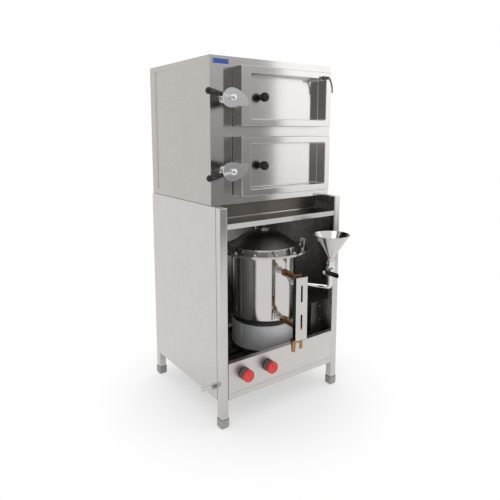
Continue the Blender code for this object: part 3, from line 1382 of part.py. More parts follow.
def build_trays():
    """Four trays, two in each chamber, on the runners."""
    near = CHAMBER_FRONT + TRAY_FRONT_CLEARANCE
    far = CHAMBER_BACK - CHAMBER_WALL - TRAY_BACK_CLEARANCE
    left = OPENING_LEFT + TRAY_SIDE_CLEARANCE
    right = OPENING_RIGHT - TRAY_SIDE_CLEARANCE
    for name, runners in (("upper", UPPER_RUNNERS), ("lower", LOWER_RUNNERS)):
        for place_name, level in zip(("bottom", "top"), runners):
            surface = tray_surface(left, right, near, far, 0.0)
            top_face = max(surface.faces, key=lambda face: face.calc_center_median().z)
            if top_face.normal.z < 0.0:
                bmesh.ops.reverse_faces(surface, faces=surface.faces)
            sheet = helper(surface)
            wall = sheet.modifiers.new("sheet", "SOLIDIFY")
            wall.thickness = TRAY_SHEET
            wall.offset = -1.0
            wall.use_even_offset = True
            bpy.context.view_layer.update()
            graph = bpy.context.evaluated_depsgraph_get()
            mesh = bpy.data.meshes.new_from_object(sheet.evaluated_get(graph))
            bpy.data.objects.remove(sheet)
            made = bmesh.new()
            made.from_mesh(mesh)
            tray = piece(
                f"idli_tray_{name}_{place_name}", made, STEEL, (0.0, 0.0, level + SEAT + TRAY_LIP)
            )
            smooth(tray, 25.0)


def door_solid(low, high):
    """A hollow door with a deep recess in front, a drain hole and its hinge leaf."""
    sheet = DOOR_SHEET
    recess_left = DOOR_LEFT + RECESS_LEFT
    recess_right = DOOR_RIGHT - RECESS_RIGHT
    recess_low = low + RECESS_EDGE
    recess_high = high - RECESS_EDGE
    outer = block((DOOR_LEFT, DOOR_FRONT, low), (DOOR_RIGHT, DOOR_BACK, high))
    cavity = block(
        (DOOR_LEFT + sheet, DOOR_FRONT + sheet, low + sheet),
        (DOOR_RIGHT - sheet, DOOR_BACK - sheet, high - sheet),
    )
    pan = block(
        (recess_left - sheet, DOOR_FRONT - OVERRUN, recess_low - sheet),
        (recess_right + sheet, RECESS_FLOOR + sheet, recess_high + sheet),
    )
    recess = block(
        (recess_left, DOOR_FRONT - OVERRUN, recess_low), (recess_right, RECESS_FLOOR, recess_high)
    )
    drain_x = (DOOR_LEFT + DOOR_RIGHT) / 2
    drain_y = (DOOR_FRONT + DOOR_BACK) / 2
    drain = rod(
        DRAIN_HOLE, (drain_x, drain_y, low - OVERRUN), (drain_x, drain_y, low + OVERRUN)
    )
    solid = cut(outer, cut(cavity, pan), recess, drain)

    middle = (low + high) / 2
    third = HINGE_HEIGHT / 3
    knuckle_low = middle - third / 2 + HINGE_KNUCKLE_GAP
    knuckle_high = middle + third / 2 - HINGE_KNUCKLE_GAP
    leaf_end = HINGE_X - HINGE_BARREL + WELD
    leaf = block(
        (DOOR_RIGHT - sheet / 2, HINGE_Y - HINGE_DOOR_LEAF, knuckle_low),
        (leaf_end, HINGE_Y, knuckle_high),
    )
    knuckle = rod(
        HINGE_BARREL, (HINGE_X, HINGE_Y, knuckle_low), (HINGE_X, HINGE_Y, knuckle_high),
        steps=ROUND_FITTING,
    )
    bore = rod(
        HINGE_PIN + SEAT, (HINGE_X, HINGE_Y, knuckle_low - OVERRUN),
        (HINGE_X, HINGE_Y, knuckle_high + OVERRUN),
    )
    return cut(joined(solid, leaf, knuckle), bore)


def door_knob():
    """A fluted ball on a neck, along -Y from its seat."""
    base = DOOR_KNOB_BASE
    reach = DOOR_KNOB_REACH
    ball_middle = -(reach - DOOR_KNOB_RADIUS)
    profile = [(0.0, 0.0), (base, 0.0), (base, -WELD * 2), (DOOR_KNOB_NECK, -base / 2)]
    first_angle = math.asin(DOOR_KNOB_NECK / DOOR_KNOB_RADIUS)
    for step in range(BALL_STEPS + 1):
        angle = first_angle + (math.pi - first_angle) * step / BALL_STEPS
        radius = DOOR_KNOB_RADIUS * math.sin(angle)
        profile.append((max(radius, 0.0), ball_middle + DOOR_KNOB_RADIUS * math.cos(angle)))
    profile[-1] = (0.0, -reach)
    made = turned(profile, 2 * DOOR_KNOB_FLUTES, "y")
    for vert in made.verts:
        if vert.co.y > ball_middle + DOOR_KNOB_RADIUS / 2:
            continue
        flat = Vector((vert.co.x, 0.0, vert.co.z))
        if flat.length < DOOR_KNOB_NECK:
            continue
        turn = math.atan2(flat.z, flat.x) * DOOR_KNOB_FLUTES
        depth = DOOR_KNOB_FLUTE_DEPTH * (1 - math.cos(turn)) / 2
        vert.co -= flat.normalized() * depth * flat.length / DOOR_KNOB_RADIUS
    return made


def build_doors():
    """Both doors with their seals and pull knobs, turning on the hinge axis."""
    pivot = Vector((HINGE_X, HINGE_Y, 0.0))
    for name, (low, high) in (("upper", UPPER_DOOR), ("lower", LOWER_DOOR)):
        solid = moved(door_solid(low, high), -pivot)
        piece(f"{name}_door", solid, MIRROR_STEEL, pivot)

        outer_low = (DOOR_LEFT + GASKET_INSET, DOOR_BACK + SEAT, low + GASKET_INSET)
        outer_high = (DOOR_RIGHT - GASKET_INSET, BOX_FRONT - SEAT, high - GASKET_INSET)
        reach = GASKET_INSET + GASKET_WIDTH
        seal = cut(
            block(outer_low, outer_high),
            block(
                (DOOR_LEFT + reach, DOOR_BACK - OVERRUN, low + reach),
                (DOOR_RIGHT - reach, BOX_FRONT + OVERRUN, high - reach),
            ),
        )
        piece(f"{name}_door_seal", moved(seal, -pivot), SILICONE, pivot)

        knob_place = Vector((DOOR_LEFT + DOOR_KNOB_INSET, RECESS_FLOOR - SEAT, (low + high) / 2))
        knob = moved(door_knob(), knob_place - pivot)
        smooth(piece(f"{name}_door_knob", knob, BLACK, pivot), 50.0)


def build_hinges():
    """The fixed half of each door's hinge, with its pin."""
    for name, (low, high) in (("upper", UPPER_DOOR), ("lower", LOWER_DOOR)):
        middle = (low + high) / 2
        third = HINGE_HEIGHT / 3
        bottom = middle - HINGE_HEIGHT / 2
        top = middle + HINGE_HEIGHT / 2
        leaf_front = BOX_FRONT - SEAT - HINGE_LEAF_THICKNESS
        leaf = block(
            (HINGE_X, leaf_front, bottom), (HINGE_X + HINGE_LEAF, BOX_FRONT - SEAT, top)
        )
        swing = HINGE_BARREL + HINGE_KNUCKLE_GAP
        notch = block(
            (HINGE_X - OVERRUN, leaf_front - OVERRUN, middle - third / 2),
            (HINGE_X + swing, BOX_FRONT + OVERRUN, middle + third / 2),
        )
        leaf = cut(leaf, notch)
        knuckles = []
        for start, end in ((bottom, middle - third / 2), (middle + third / 2, top)):
            knuckles.append(rod(
                HINGE_BARREL, (HINGE_X, HINGE_Y, start), (HINGE_X, HINGE_Y, end), steps=ROUND_FITTING
            ))
        pin = rod(HINGE_PIN, (HINGE_X, HINGE_Y, bottom), (HINGE_X, HINGE_Y, top))
        smooth(piece(f"{name}_hinge", joined(leaf, *knuckles, pin), STEEL))


def looped(points, steps):
    """A smooth closed curve through a ring of points."""
    points = [Vector(point) for point in points]
    count = len(points)
    curve = []
    for index in range(count):
        before, start, end, after = (points[(index + shift) % count] for shift in (-1, 0, 1, 2))
        for step in range(steps):
            t = step / steps
            curve.append(
                start * 2 + (end - before) * t
                + (before * 2 - start * 5 + end * 4 - after) * t ** 2
                + (start * 3 - before - end * 3 + after) * t ** 3
            )
    return [tuple(point / 2) for point in curve]


def build_latches():
    """Cam latches left of the doors, the lower one mirrored top to bottom."""
    places = (
        ("upper", UPPER_DOOR[1] - UPPER_LATCH_DROP, 1),
        ("lower", LOWER_DOOR[0] + LOWER_LATCH_RISE, -1),
    )
    tilt = math.radians(LATCH_TILT_DEG)
    for name, height, sign in places:
        aim = Vector((-math.cos(tilt), 0.0, sign * math.sin(tilt)))
        ring = [(x * CAM_REACH, sign * z * CAM_REACH) for x, z in CAM_OUTLINE_SHARES]
        outline = looped(ring, CAM_STEPS)
        plate = extruded(outline, "y", 0.0, -CAM_THICKNESS)
        crown = HUB_HEIGHT + CAM_THICKNESS
        hub = turned(
            [
                (0.0, -WELD), (HUB_RADIUS, -WELD), (HUB_RADIUS, -HUB_HEIGHT / 2 - CAM_THICKNESS),
                (HUB_RADIUS * math.cos(math.pi / 4), -crown + HUB_RADIUS / 6), (0.0, -crown),
            ],
            ROUND_FITTING, "y",
        )
        rod_y = -CAM_THICKNESS - LATCH_ROD + WELD
        middle = Vector((0.0, rod_y, 0.0))
        handle = rod(LATCH_ROD, middle, middle + aim * (LATCH_ROD_LENGTH + GRIP_COVER))
        bore = rod(
            LATCH_PIN_RADIUS + SEAT, (0.0, OVERRUN, 0.0),
            (0.0, -LATCH_PIN_LENGTH - SEAT, 0.0),
        )
        place = (LATCH_X, CAM_BACK_PLANE, height)
        solid = cut(joined(plate, hub, handle), bore)
        smooth(piece(f"{name}_latch_cam", solid, CHROME, place), 40.0)

        length = GRIP_LENGTH
        grip = turned(
            [
                (LATCH_ROD + SEAT, 0.0), (GRIP_SMALL, 0.0),
                (GRIP_LARGE, length - GRIP_LARGE),
                (GRIP_LARGE * math.cos(math.pi / 6), length - GRIP_LARGE / 2),
                (GRIP_LARGE / 2, length - GRIP_LARGE / 8), (0.0, length),
                (0.0, GRIP_COVER + SEAT), (LATCH_ROD + SEAT, GRIP_COVER + SEAT),
            ],
            ROUND_FITTING, closed=True,
        )
        swing = Vector((0.0, 0.0, 1.0)).rotation_difference(aim).to_matrix().to_4x4()
        at = Matrix.Translation(middle + aim * LATCH_ROD_LENGTH) @ swing
        bmesh.ops.transform(grip, matrix=at, verts=grip.verts)
        smooth(piece(f"{name}_latch_grip", grip, BLACK, place), 40.0)


def build_vent():
    """The small vent cock at the upper door's top right corner, with its lever."""
    vent_x = DOOR_RIGHT - VENT_INSET_SIDE
    vent_z = UPPER_DOOR[1] - VENT_INSET_TOP
    start = DOOR_FRONT - SEAT
    spot = Vector((vent_x, start, vent_z))
    ahead = Vector((0.0, -1.0, 0.0))
    base = hexagon(VENT_BASE, spot, spot + ahead * VENT_BASE_LENGTH)
    stem = rod(VENT_STEM, spot, spot + ahead * VENT_LENGTH)
    nozzle_y = ahead * (VENT_LENGTH - VENT_NOZZLE)
    nozzle = rod(
        VENT_NOZZLE, spot + nozzle_y, spot + nozzle_y - Vector((VENT_NOZZLE_LENGTH, 0.0, 0.0)),
        steps=ROUND_FITTING,
    )
    axle = rod(
        VENT_AXLE, spot + ahead * (VENT_LENGTH - WELD),
        spot + ahead * (VENT_LENGTH + VENT_AXLE_LENGTH),
    )
    pivot = Vector((HINGE_X, HINGE_Y, 0.0))
    body = moved(joined(base, stem, nozzle, axle), -pivot)
    smooth(piece("vent_cock", body, CHROME, pivot))

    inner = []
    outer = []
    for step in range(VENT_STEPS + 1):
        share = step / VENT_STEPS
        angle = share * math.pi / 2
        middle = Vector((
            VENT_LEVER_REACH * math.sin(angle), -VENT_LEVER_DROP * (1 - math.cos(angle))
        ))
        ahead_2d = Vector((
            VENT_LEVER_REACH * math.cos(angle), -VENT_LEVER_DROP * math.sin(angle)
        )).normalized()
        side = Vector((-ahead_2d.y, ahead_2d.x))
        half = VENT_LEVER_WIDTH / 2 * (1 - (1 - VENT_LEVER_END_SHARE) * share)
        outer.append(tuple(middle + side * half))
        inner.append(tuple(middle - side * half))
    strip = extruded(outer + list(reversed(inner)), "y", 0.0, -VENT_LEVER_THICKNESS)
    eye = rod(
        VENT_STEM, (0.0, 0.0, 0.0), (0.0, -VENT_LEVER_THICKNESS - VENT_AXLE, 0.0),
        steps=ROUND_FITTING,
    )
    bore = rod(
        VENT_AXLE + SEAT, (0.0, OVERRUN, 0.0), (0.0, -VENT_AXLE_LENGTH - OVERRUN, 0.0)
    )
    place = spot + Vector((0.0, -VENT_LENGTH - SEAT, 0.0))
    smooth(piece("vent_cock_lever", cut(joined(strip, eye), bore), CHROME, place), 40.0)


def centre_on_floor():
    """Moves the root so that the origin is on the floor under the middle of it all."""
    bpy.context.view_layer.update()
    graph = bpy.context.evaluated_depsgraph_get()
    low = Vector((math.inf, math.inf))
    high = Vector((-math.inf, -math.inf))
    for made in root.children:
        world = made.matrix_world
        for vert in made.evaluated_get(graph).data.vertices:
            spot = world @ vert.co
            low = Vector((min(low.x, spot.x), min(low.y, spot.y)))
            high = Vector((max(high.x, spot.x), max(high.y, spot.y)))
    middle = (low + high) / 2
    root.location = (-middle.x, -middle.y, 0.0)
    bpy.context.view_layer.update()


build_posts_and_feet()
build_rails()
build_stand_panels()
build_boiler()
build_burner()
build_gas_controls()
build_gauge()
build_filler()
build_steam_pipe()
build_box_shell()
build_front_frame()
build_chambers()
build_trays()
build_doors()
build_hinges()
build_latches()
build_vent()
centre_on_floor()
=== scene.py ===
"""Looks of the gas idli steamer: its metal and plastic finishes, fine shapes and studio."""

import logging
import math
from dataclasses import dataclass
from enum import Enum
from typing import Iterable, Sequence

import bmesh
import bpy
from mathutils import Matrix, Vector


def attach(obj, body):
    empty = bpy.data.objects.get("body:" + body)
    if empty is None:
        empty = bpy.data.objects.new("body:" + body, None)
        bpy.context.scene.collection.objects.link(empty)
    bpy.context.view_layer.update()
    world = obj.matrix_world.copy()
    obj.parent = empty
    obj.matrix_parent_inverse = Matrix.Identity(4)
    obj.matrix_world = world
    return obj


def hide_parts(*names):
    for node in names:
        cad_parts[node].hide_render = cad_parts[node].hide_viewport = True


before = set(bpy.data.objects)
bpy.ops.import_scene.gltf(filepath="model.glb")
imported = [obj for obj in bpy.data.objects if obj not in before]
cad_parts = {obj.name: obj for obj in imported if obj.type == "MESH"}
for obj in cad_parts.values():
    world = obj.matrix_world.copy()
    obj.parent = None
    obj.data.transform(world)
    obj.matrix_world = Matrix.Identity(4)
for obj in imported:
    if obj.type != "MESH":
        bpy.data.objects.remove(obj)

logging.basicConfig(level=logging.INFO, format="%(message)s")
log = logging.getLogger("steamer")

Point = Sequence[float]

# The middle of the stand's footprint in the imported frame. All places below are about it.
STAND_MIDDLE = Vector((0.0275, 0.06221, 0.0))
# Thickness of the loose seats between neighbouring pieces.
SEAT = 0.0003
# The boiler's axis, about which its fittings stand.
BOILER = Vector((0.045, -0.083, 0.0))
# The face of the box's front sheet, and the latches' studs and backs.
FRONT = -0.215
STUD_X = -0.245
STUDS = {"upper": 1.254, "lower": 0.989}
CAM_BACK = -0.2787
# How many sides a nut and round pieces of growing size have.
HEX = 6
THIN = 24
ROUND = 32
FINE = 40
LARGE = 128
# Ways in which bars and turned shapes run.
RIGHT = Vector((1.0, 0.0, 0.0))
AHEAD = Vector((0.0, -1.0, 0.0))
UP = Vector((0.0, 0.0, 1.0))


def linear(hex_colour: str) -> tuple[float, float, float, float]:
    """Turns an sRGB colour into the linear one that a shader reads.

    Args:
        hex_colour: The colour as #rrggbb.

    Returns:
        Red, green, blue and an alpha of one.
    """
    values = [int(hex_colour[i:i + 2], 16) / 255 for i in (1, 3, 5)]
    parts = [v / 12.92 if v <= 0.04045 else ((v + 0.055) / 1.055) ** 2.4 for v in values]
    return (parts[0], parts[1], parts[2], 1.0)


def add_node(tree: bpy.types.NodeTree, kind: str, settings: dict | None = None,
             links: dict | None = None) -> bpy.types.Node:
    """Adds a node with its settings and links.

    Args:
        tree: The node tree that gets the node.
        kind: The node's type name after ShaderNode.
        settings: Values by property name, or by input name or number.
        links: Output sockets by the input that they feed.

    Returns:
        The new node.
    """
    node = tree.nodes.new(f"ShaderNode{kind}")
    for key, value in (settings or {}).items():
        if isinstance(key, str) and hasattr(node, key):
            setattr(node, key, value)
        else:
            node.inputs[key].default_value = value
    for key, source in (links or {}).items():
        tree.links.new(source, node.inputs[key])
    return node


class Grain(Enum):
    """Which way the rolling or brushing lines of a sheet run."""

    ACROSS = (0.02, 1.0, 1.0)
    DEEP = (1.0, 0.02, 1.0)
    UPRIGHT = (1.0, 1.0, 0.02)
    NONE = (1.0, 1.0, 1.0)


@dataclass(frozen=True)
class Finish:
    """What every finish shares: a name, two close colours and a roughness range."""

    name: str
    light: str
    dark: str
    smooth: float
    rough: float
    metallic: float = 1.0
    grain: Grain = Grain.NONE
    grain_mm: float = 2.0
    cloud_mm: float = 90.0
    relief_mm: float = 0.01
    coat: float = 0.0
    clear: float = 0.0
    ior: float = 1.5
    stretch: float = 0.0

    def material(self) -> bpy.types.Material:
        """The finish as a material, made once and then shared.

        Returns:
            The material, with clouding in its colour and its grain in gloss and relief.
        """
        known = bpy.data.materials.get(self.name)
        if known:
            return known
        made = bpy.data.materials.new(self.name)
        made.use_nodes = True
        tree = made.node_tree
        shader = tree.nodes["Principled BSDF"]
        place = add_node(tree, "TexCoord")
        cloud = add_node(
            tree, "TexNoise",
            {"Scale": 1000 / self.cloud_mm, "Detail": 3.0, "Roughness": 0.55},
            {"Vector": place.outputs["Object"]},
        )
        tint = add_node(
            tree, "Mix",
            {"data_type": "RGBA", 6: linear(self.dark), 7: linear(self.light)},
            {0: cloud.outputs["Fac"]},
        )
        along = add_node(
            tree, "Mapping", {"Scale": self.grain.value},
            {"Vector": place.outputs["Object"]},
        )
        lines = add_node(
            tree, "TexNoise",
            {"Scale": 1000 / self.grain_mm, "Detail": 4.0, "Roughness": 0.6},
            {"Vector": along.outputs["Vector"]},
        )
        both = add_node(
            tree, "Mix", {"data_type": "FLOAT", 0: 0.4},
            {2: lines.outputs["Fac"], 3: cloud.outputs["Fac"]},
        )
        gloss = add_node(
            tree, "MapRange",
            {"From Min": 0.3, "From Max": 0.7, "To Min": self.smooth, "To Max": self.rough},
            {"Value": both.outputs[0]},
        )
        relief = add_node(
            tree, "Bump", {"Strength": 0.5, "Distance": self.relief_mm / 1000},
            {"Height": lines.outputs["Fac"]},
        )
        tree.links.new(tint.outputs[2], shader.inputs["Base Color"])
        tree.links.new(gloss.outputs["Result"], shader.inputs["Roughness"])
        tree.links.new(relief.outputs["Normal"], shader.inputs["Normal"])
        shader.inputs["Metallic"].default_value = self.metallic
        shader.inputs["Anisotropic"].default_value = self.stretch
        shader.inputs["Anisotropic Rotation"].default_value = 0.25
        if self.metallic < 1.0:
            shader.inputs["IOR"].default_value = self.ior
            shader.inputs["Coat Weight"].default_value = self.coat
            shader.inputs["Transmission Weight"].default_value = self.clear
        return made


# Brushed 304 stainless sheet of the box: a soft satin sheen whose lines run with the sheet,
# and on the front a sharper one that draws reflections out upwards.
CASING = Finish("brushed_stainless_casing", "#bfbbb7", "#b5b1ad", 0.20, 0.30,
                grain=Grain.DEEP, grain_mm=3.0)
FACING = Finish("brushed_stainless_facing", "#c4c2c0", "#bbb9b7", 0.13, 0.19,
                grain=Grain.ACROSS, grain_mm=3.0, stretch=0.85)
# The same sheet and tube in the stand, paler, with its lines upright.
STANDING = Finish("brushed_stainless_legs", "#d0cdca", "#c2bfbc", 0.18, 0.28,
                  grain=Grain.UPRIGHT, grain_mm=3.0)
SIDING = Finish("brushed_stainless_siding", "#cfccca", "#c5c1be", 0.22, 0.32,
                grain=Grain.UPRIGHT, grain_mm=3.0)
# Mill-finish stainless inside the stand and chambers: duller, with faint clouding.
MILL = Finish("mill_stainless", "#b2afac", "#a09d9a", 0.30, 0.42, grain=Grain.DEEP, grain_mm=4.0)
# Stainless with a dark, soft and cloudy colour: painted shade on sheets and fittings that stand in
# shadow and mirror dark surroundings.
PAINTED_SHADE_STEEL = Finish("painted_shade_stainless", "#7c766f", "#57514c", 0.32, 0.48,
                 grain=Grain.ACROSS, grain_mm=4.0, cloud_mm=70.0)
# Satin stainless of the apron: a broad, even sheen in place of a mirror.
SATIN = Finish("satin_stainless", "#d8d5d2", "#ccc9c5", 0.36, 0.46, grain=Grain.ACROSS,
               grain_mm=4.0)
# Galvanised sheet: pale, matt and lightly spangled.
GALVANISED = Finish("galvanised_sheet", "#d4d5d6", "#bfc1c3", 0.45, 0.60, metallic=0.35,
                    cloud_mm=18.0, grain_mm=6.0)
# Buffed stainless, spun or rolled: nearly a mirror with a slight haze.
BUFFED = Finish("buffed_stainless", "#cfccc9", "#c2bfbc", 0.08, 0.15,
                grain=Grain.ACROSS, grain_mm=5.0, relief_mm=0.02)
# Pressed aluminium of the trays: pale, soft and a little cloudy.
PRESSED = Finish("pressed_aluminium_tray", "#c9cacb", "#b9babb", 0.28, 0.38,
                 grain=Grain.ACROSS, grain_mm=3.0)
# Decorative chrome plating: a clean mirror.
CHROME = Finish("chrome_plating", "#dcdcdc", "#d2d2d2", 0.05, 0.10, grain_mm=8.0)
# Turned brass with a little tarnish in its clouds.
BRASS = Finish("turned_brass", "#b99369", "#86684a", 0.20, 0.38, grain_mm=2.0, cloud_mm=14.0)
# Blackened iron from the foundry: rough, dark and slightly brown.
IRON = Finish("blackened_cast_iron", "#3a3836", "#1f1e1d", 0.55, 0.80, metallic=0.5,
              grain_mm=2.5, cloud_mm=25.0, relief_mm=0.15)
# Flat black of the ring under the boiler.
FLAT_BLACK = Finish("flat_black_ring", "#262524", "#141414", 0.45, 0.65, metallic=0.0,
              grain_mm=2.0, relief_mm=0.05)
# Moulded phenolic of knobs and grips: deep black with a gloss.
PHENOLIC = Finish("moulded_phenolic_black", "#121212", "#0b0b0b", 0.14, 0.24, metallic=0.0,
                  grain_mm=2.0, relief_mm=0.02, ior=1.42)
# Moulded ABS under the red caps: matt charcoal.
CHARCOAL = Finish("moulded_abs_charcoal", "#5c585a", "#4c494b", 0.34, 0.46, metallic=0.0,
                  grain_mm=2.0, relief_mm=0.03)
# Moulded ABS of the gas knobs: clear pillar-box red.
RED_ABS = Finish("moulded_abs_red", "#e2332c", "#d22a25", 0.22, 0.34, metallic=0.0,
                 grain_mm=2.0, relief_mm=0.02, coat=0.25)
# Moulded polypropylene boots: matt mid grey.
BOOT = Finish("moulded_polypropylene_grey", "#a3a2a1", "#929190", 0.42, 0.58, metallic=0.0,
              grain_mm=2.0, relief_mm=0.05)
# Extruded silicone seal: matt off-white grey.
SILICONE = Finish("extruded_silicone", "#b3b0aa", "#a6a39d", 0.50, 0.65, metallic=0.0,
                  grain_mm=3.0, relief_mm=0.05)
# Borosilicate gauge tube: clear, with a trace of green.
GLASS = Finish("borosilicate_tube", "#f2f7f5", "#e9f1ee", 0.01, 0.04, metallic=0.0,
               grain_mm=9.0, relief_mm=0.0, clear=1.0, ior=1.47)
# Stove-enamelled tinplate of the small blank plate: even mid blue.
ENAMEL = Finish("stove_enamel_blue", "#2450a4", "#1b4496", 0.25, 0.38, metallic=0.0,
                grain_mm=3.0, relief_mm=0.02, coat=0.3)


class Form:
    """A piece's mesh while it is shaped, about the middle of the stand."""

    def __init__(self) -> None:
        """Starts with nothing."""
        self.mesh = bmesh.new()

    def take(self, part: bmesh.types.BMesh, place: Matrix | None = None) -> "Form":
        """Adds a mesh to the form and frees it.

        Args:
            part: The mesh to add.
            place: Where it goes, if it isn't there already.

        Returns:
            The form.
        """
        if place is not None:
            bmesh.ops.transform(part, matrix=place, verts=part.verts)
        passing = bpy.data.meshes.new("passing")
        part.to_mesh(passing)
        part.free()
        self.mesh.from_mesh(passing)
        bpy.data.meshes.remove(passing)
        return self

    def block(self, low: Point, high: Point, edge: float = 0.0, segments: int = 2) -> "Form":
        """Adds a box between two corners, with eased edges.

        Args:
            low: The lowest corner.
            high: The highest corner.
            edge: How far the edges are rounded.
            segments: How many steps the rounding has.

        Returns:
            The form.
        """
        part = cuboid(low, high)
        if edge > 0.0:
            ease(part, edge, segments)
        return self.take(part)

    def rod(self, start: Point, end: Point, radius: float, tip: float | None = None,
            sides: int = 32, edge: float = 0.0) -> "Form":
        """Adds a round or many-sided bar between two points.

        Args:
            start: Where it starts.
            end: Where it ends.
            radius: Its radius at the start.
            tip: Its radius at the end, if that differs.
            sides: How many sides it has; six make a nut.
            edge: How far the end rims are eased.

        Returns:
            The form.
        """
        run = Vector(end) - Vector(start)
        part = bmesh.new()
        bmesh.ops.create_cone(
            part, cap_ends=True, segments=sides, radius1=radius,
            radius2=radius if tip is None else tip, depth=run.length,
        )
        if edge > 0.0:
            ease(part, edge, 2, least_deg=50.0 if sides > 8 else 30.0)
        return self.take(part, upright(Vector(start) + run / 2, run))

    def bars(self, place: Point, aim: Point, *sections: Sequence[float]) -> "Form":
        """Adds round or many-sided bars along one axis.

        Args:
            place: Where the axis starts.
            aim: Which way it runs.
            sections: Start, end, radius, number of sides and eased rim of each bar.

        Returns:
            The form.
        """
        foot, run = Vector(place), Vector(aim)
        for start, end, radius, sides, edge in sections:
            self.rod(foot + run * start, foot + run * end, radius, sides=sides, edge=edge)
        return self

    def lathe(self, profile: Iterable[Point], place: Point = (0.0, 0.0, 0.0),
              aim: Point = (0.0, 0.0, 1.0), steps: int = 64, closed: bool = False,
              edge: float = 0.0) -> "Form":
        """Adds a turned shape.

        Args:
            profile: Its outline as (radius, height) points.
            place: Where the foot of its axis stands.
            aim: Which way its axis points.
            steps: How many steps the turn has.
            closed: True for a ring, whose last point joins the first.
            edge: How far its corners are eased.

        Returns:
            The form.
        """
        part = bmesh.new()
        points = [part.verts.new((radius, 0.0, height)) for radius, height in profile]
        pairs = list(zip(points, points[1:]))
        if closed:
            pairs.append((points[-1], points[0]))
        edges = [part.edges.new(pair) for pair in pairs if max(v.co.x for v in pair) > 0.0]
        bmesh.ops.spin(
            part, geom=points + edges, cent=(0.0, 0.0, 0.0), axis=(0.0, 0.0, 1.0),
            angle=2 * math.pi, steps=steps, use_merge=True,
        )
        bmesh.ops.remove_doubles(part, verts=part.verts, dist=1e-6)
        bmesh.ops.recalc_face_normals(part, faces=part.faces)
        if edge > 0.0:
            ease(part, edge, 3, least_deg=30.0)
        return self.take(part, upright(place, aim))

    def pipe(self, route: Sequence[Vector], radius: float, sides: int = 24) -> "Form":
        """Adds a round bar that follows a route.

        Args:
            route: The points that its middle follows.
            radius: Its radius.
            sides: How many sides it has.

        Returns:
            The form.
        """
        part = bmesh.new()
        ahead = (route[1] - route[0]).normalized()
        bmesh.ops.create_circle(
            part, cap_ends=True, segments=sides, radius=radius, matrix=upright(route[0], ahead),
        )
        tip = part.faces[:][0]
        for index in range(1, len(route)):
            after = route[min(index + 1, len(route) - 1)]
            follow = (after - route[index - 1]).normalized()
            tip = pushed(part, tip)
            bmesh.ops.translate(part, verts=tip.verts, vec=route[index] - route[index - 1])
            turn = ahead.rotation_difference(follow).to_matrix()
            bmesh.ops.rotate(part, verts=tip.verts, cent=route[index], matrix=turn)
            ahead = follow
        bmesh.ops.recalc_face_normals(part, faces=part.faces)
        return self.take(part)

    def node(self, name: str, edge: float = 0.0, segments: int = 2,
             least_deg: float = 35.0) -> "Form":
        """Adds a copy of a solid of the frame, merged, with its edges eased.

        Args:
            name: The solid's name.
            edge: How far its edges are rounded.
            segments: How many steps the rounding has.
            least_deg: The flattest edge that is rounded.

        Returns:
            The form.
        """
        part = bmesh.new()
        part.from_mesh(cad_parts[name].data)
        bmesh.ops.remove_doubles(part, verts=part.verts, dist=2e-6)
        bmesh.ops.dissolve_limit(
            part, angle_limit=math.radians(0.5), verts=part.verts, edges=part.edges
        )
        bmesh.ops.translate(part, verts=part.verts, vec=-STAND_MIDDLE)
        if edge > 0.0:
            ease(part, edge, segments, least_deg)
        return self.take(part)

    def flute(self, centre: Vector, count: int, depth: float, least: float, start: float,
              widest: float = 0.0) -> "Form":
        """Presses flutes into a form that is turned about an axis towards the front.

        Args:
            centre: Where the axis starts.
            count: How many flutes there are.
            depth: How deep each is.
            least: The smallest radius that they reach.
            start: How far in front of the centre they start.
            widest: The radius of full depth, if they fade towards the axis.

        Returns:
            The form.
        """
        for vert in self.mesh.verts:
            flat = Vector((vert.co.x - centre.x, 0.0, vert.co.z - centre.z))
            if flat.length < least or centre.y - vert.co.y < start:
                continue
            wave = (1 - math.cos(math.atan2(flat.z, flat.x) * count)) / 2
            share = flat.length / widest if widest else 1.0
            vert.co -= flat.normalized() * depth * wave * share
        return self

    def turn(self, degrees: float, axis: Point = (0.0, 0.0, 1.0),
             centre: Point = (0.0, 0.0, 0.0)) -> "Form":
        """Turns the whole form about an axis."""
        swing = Matrix.Rotation(math.radians(degrees), 3, Vector(axis))
        bmesh.ops.rotate(self.mesh, verts=self.mesh.verts, cent=centre, matrix=swing)
        return self

    def shift(self, vector: Point) -> "Form":
        """Moves the whole form."""
        bmesh.ops.translate(self.mesh, verts=self.mesh.verts, vec=vector)
        return self

    def make(self, name: str, finish: Finish, nodes: Sequence[str] = (), body: str = "cabinet",
             slot: str = "", crease_deg: float = 32.0) -> bpy.types.Object:
        """Turns the form into a finished piece that moves with its body.

        Args:
            name: The piece's name.
            finish: What it is made of.
            nodes: The solids that it stands for.
            body: The body that it moves with.
            slot: The material slot of the record that it belongs to; not used.
            crease_deg: The flattest edge that stays sharp.

        Returns:
            The new object.
        """
        self.shift(STAND_MIDDLE)
        for edge in self.mesh.edges:
            if len(edge.link_faces) == 2 and edge.calc_face_angle(0.0) > math.radians(crease_deg):
                edge.smooth = False
        for face in self.mesh.faces:
            face.smooth = len(face.verts) <= 6
        data = bpy.data.meshes.new(name)
        self.mesh.to_mesh(data)
        self.mesh.free()
        made = show(name, data)
        data.materials.append(finish.material())
        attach(made, body)
        if nodes:
            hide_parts(*nodes)
        log.info("%s: %d faces, %s", name, len(data.polygons), finish.name)
        return made


def upright(place: Point, aim: Point) -> Matrix:
    """The matrix that stands a shape's own axis at a place, along an aim."""
    swing = UP.rotation_difference(Vector(aim)).to_matrix().to_4x4()
    return Matrix.Translation(Vector(place)) @ swing


def only(items: Iterable, sort: type) -> list:
    """The items of one sort among those that an operator made."""
    return [item for item in items if isinstance(item, sort)]


def pushed(mesh: bmesh.types.BMesh, face: bmesh.types.BMFace) -> bmesh.types.BMFace:
    """The new end face after a face of a mesh is extruded where it lies."""
    return only(bmesh.ops.extrude_face_region(mesh, geom=[face])["geom"], bmesh.types.BMFace)[0]


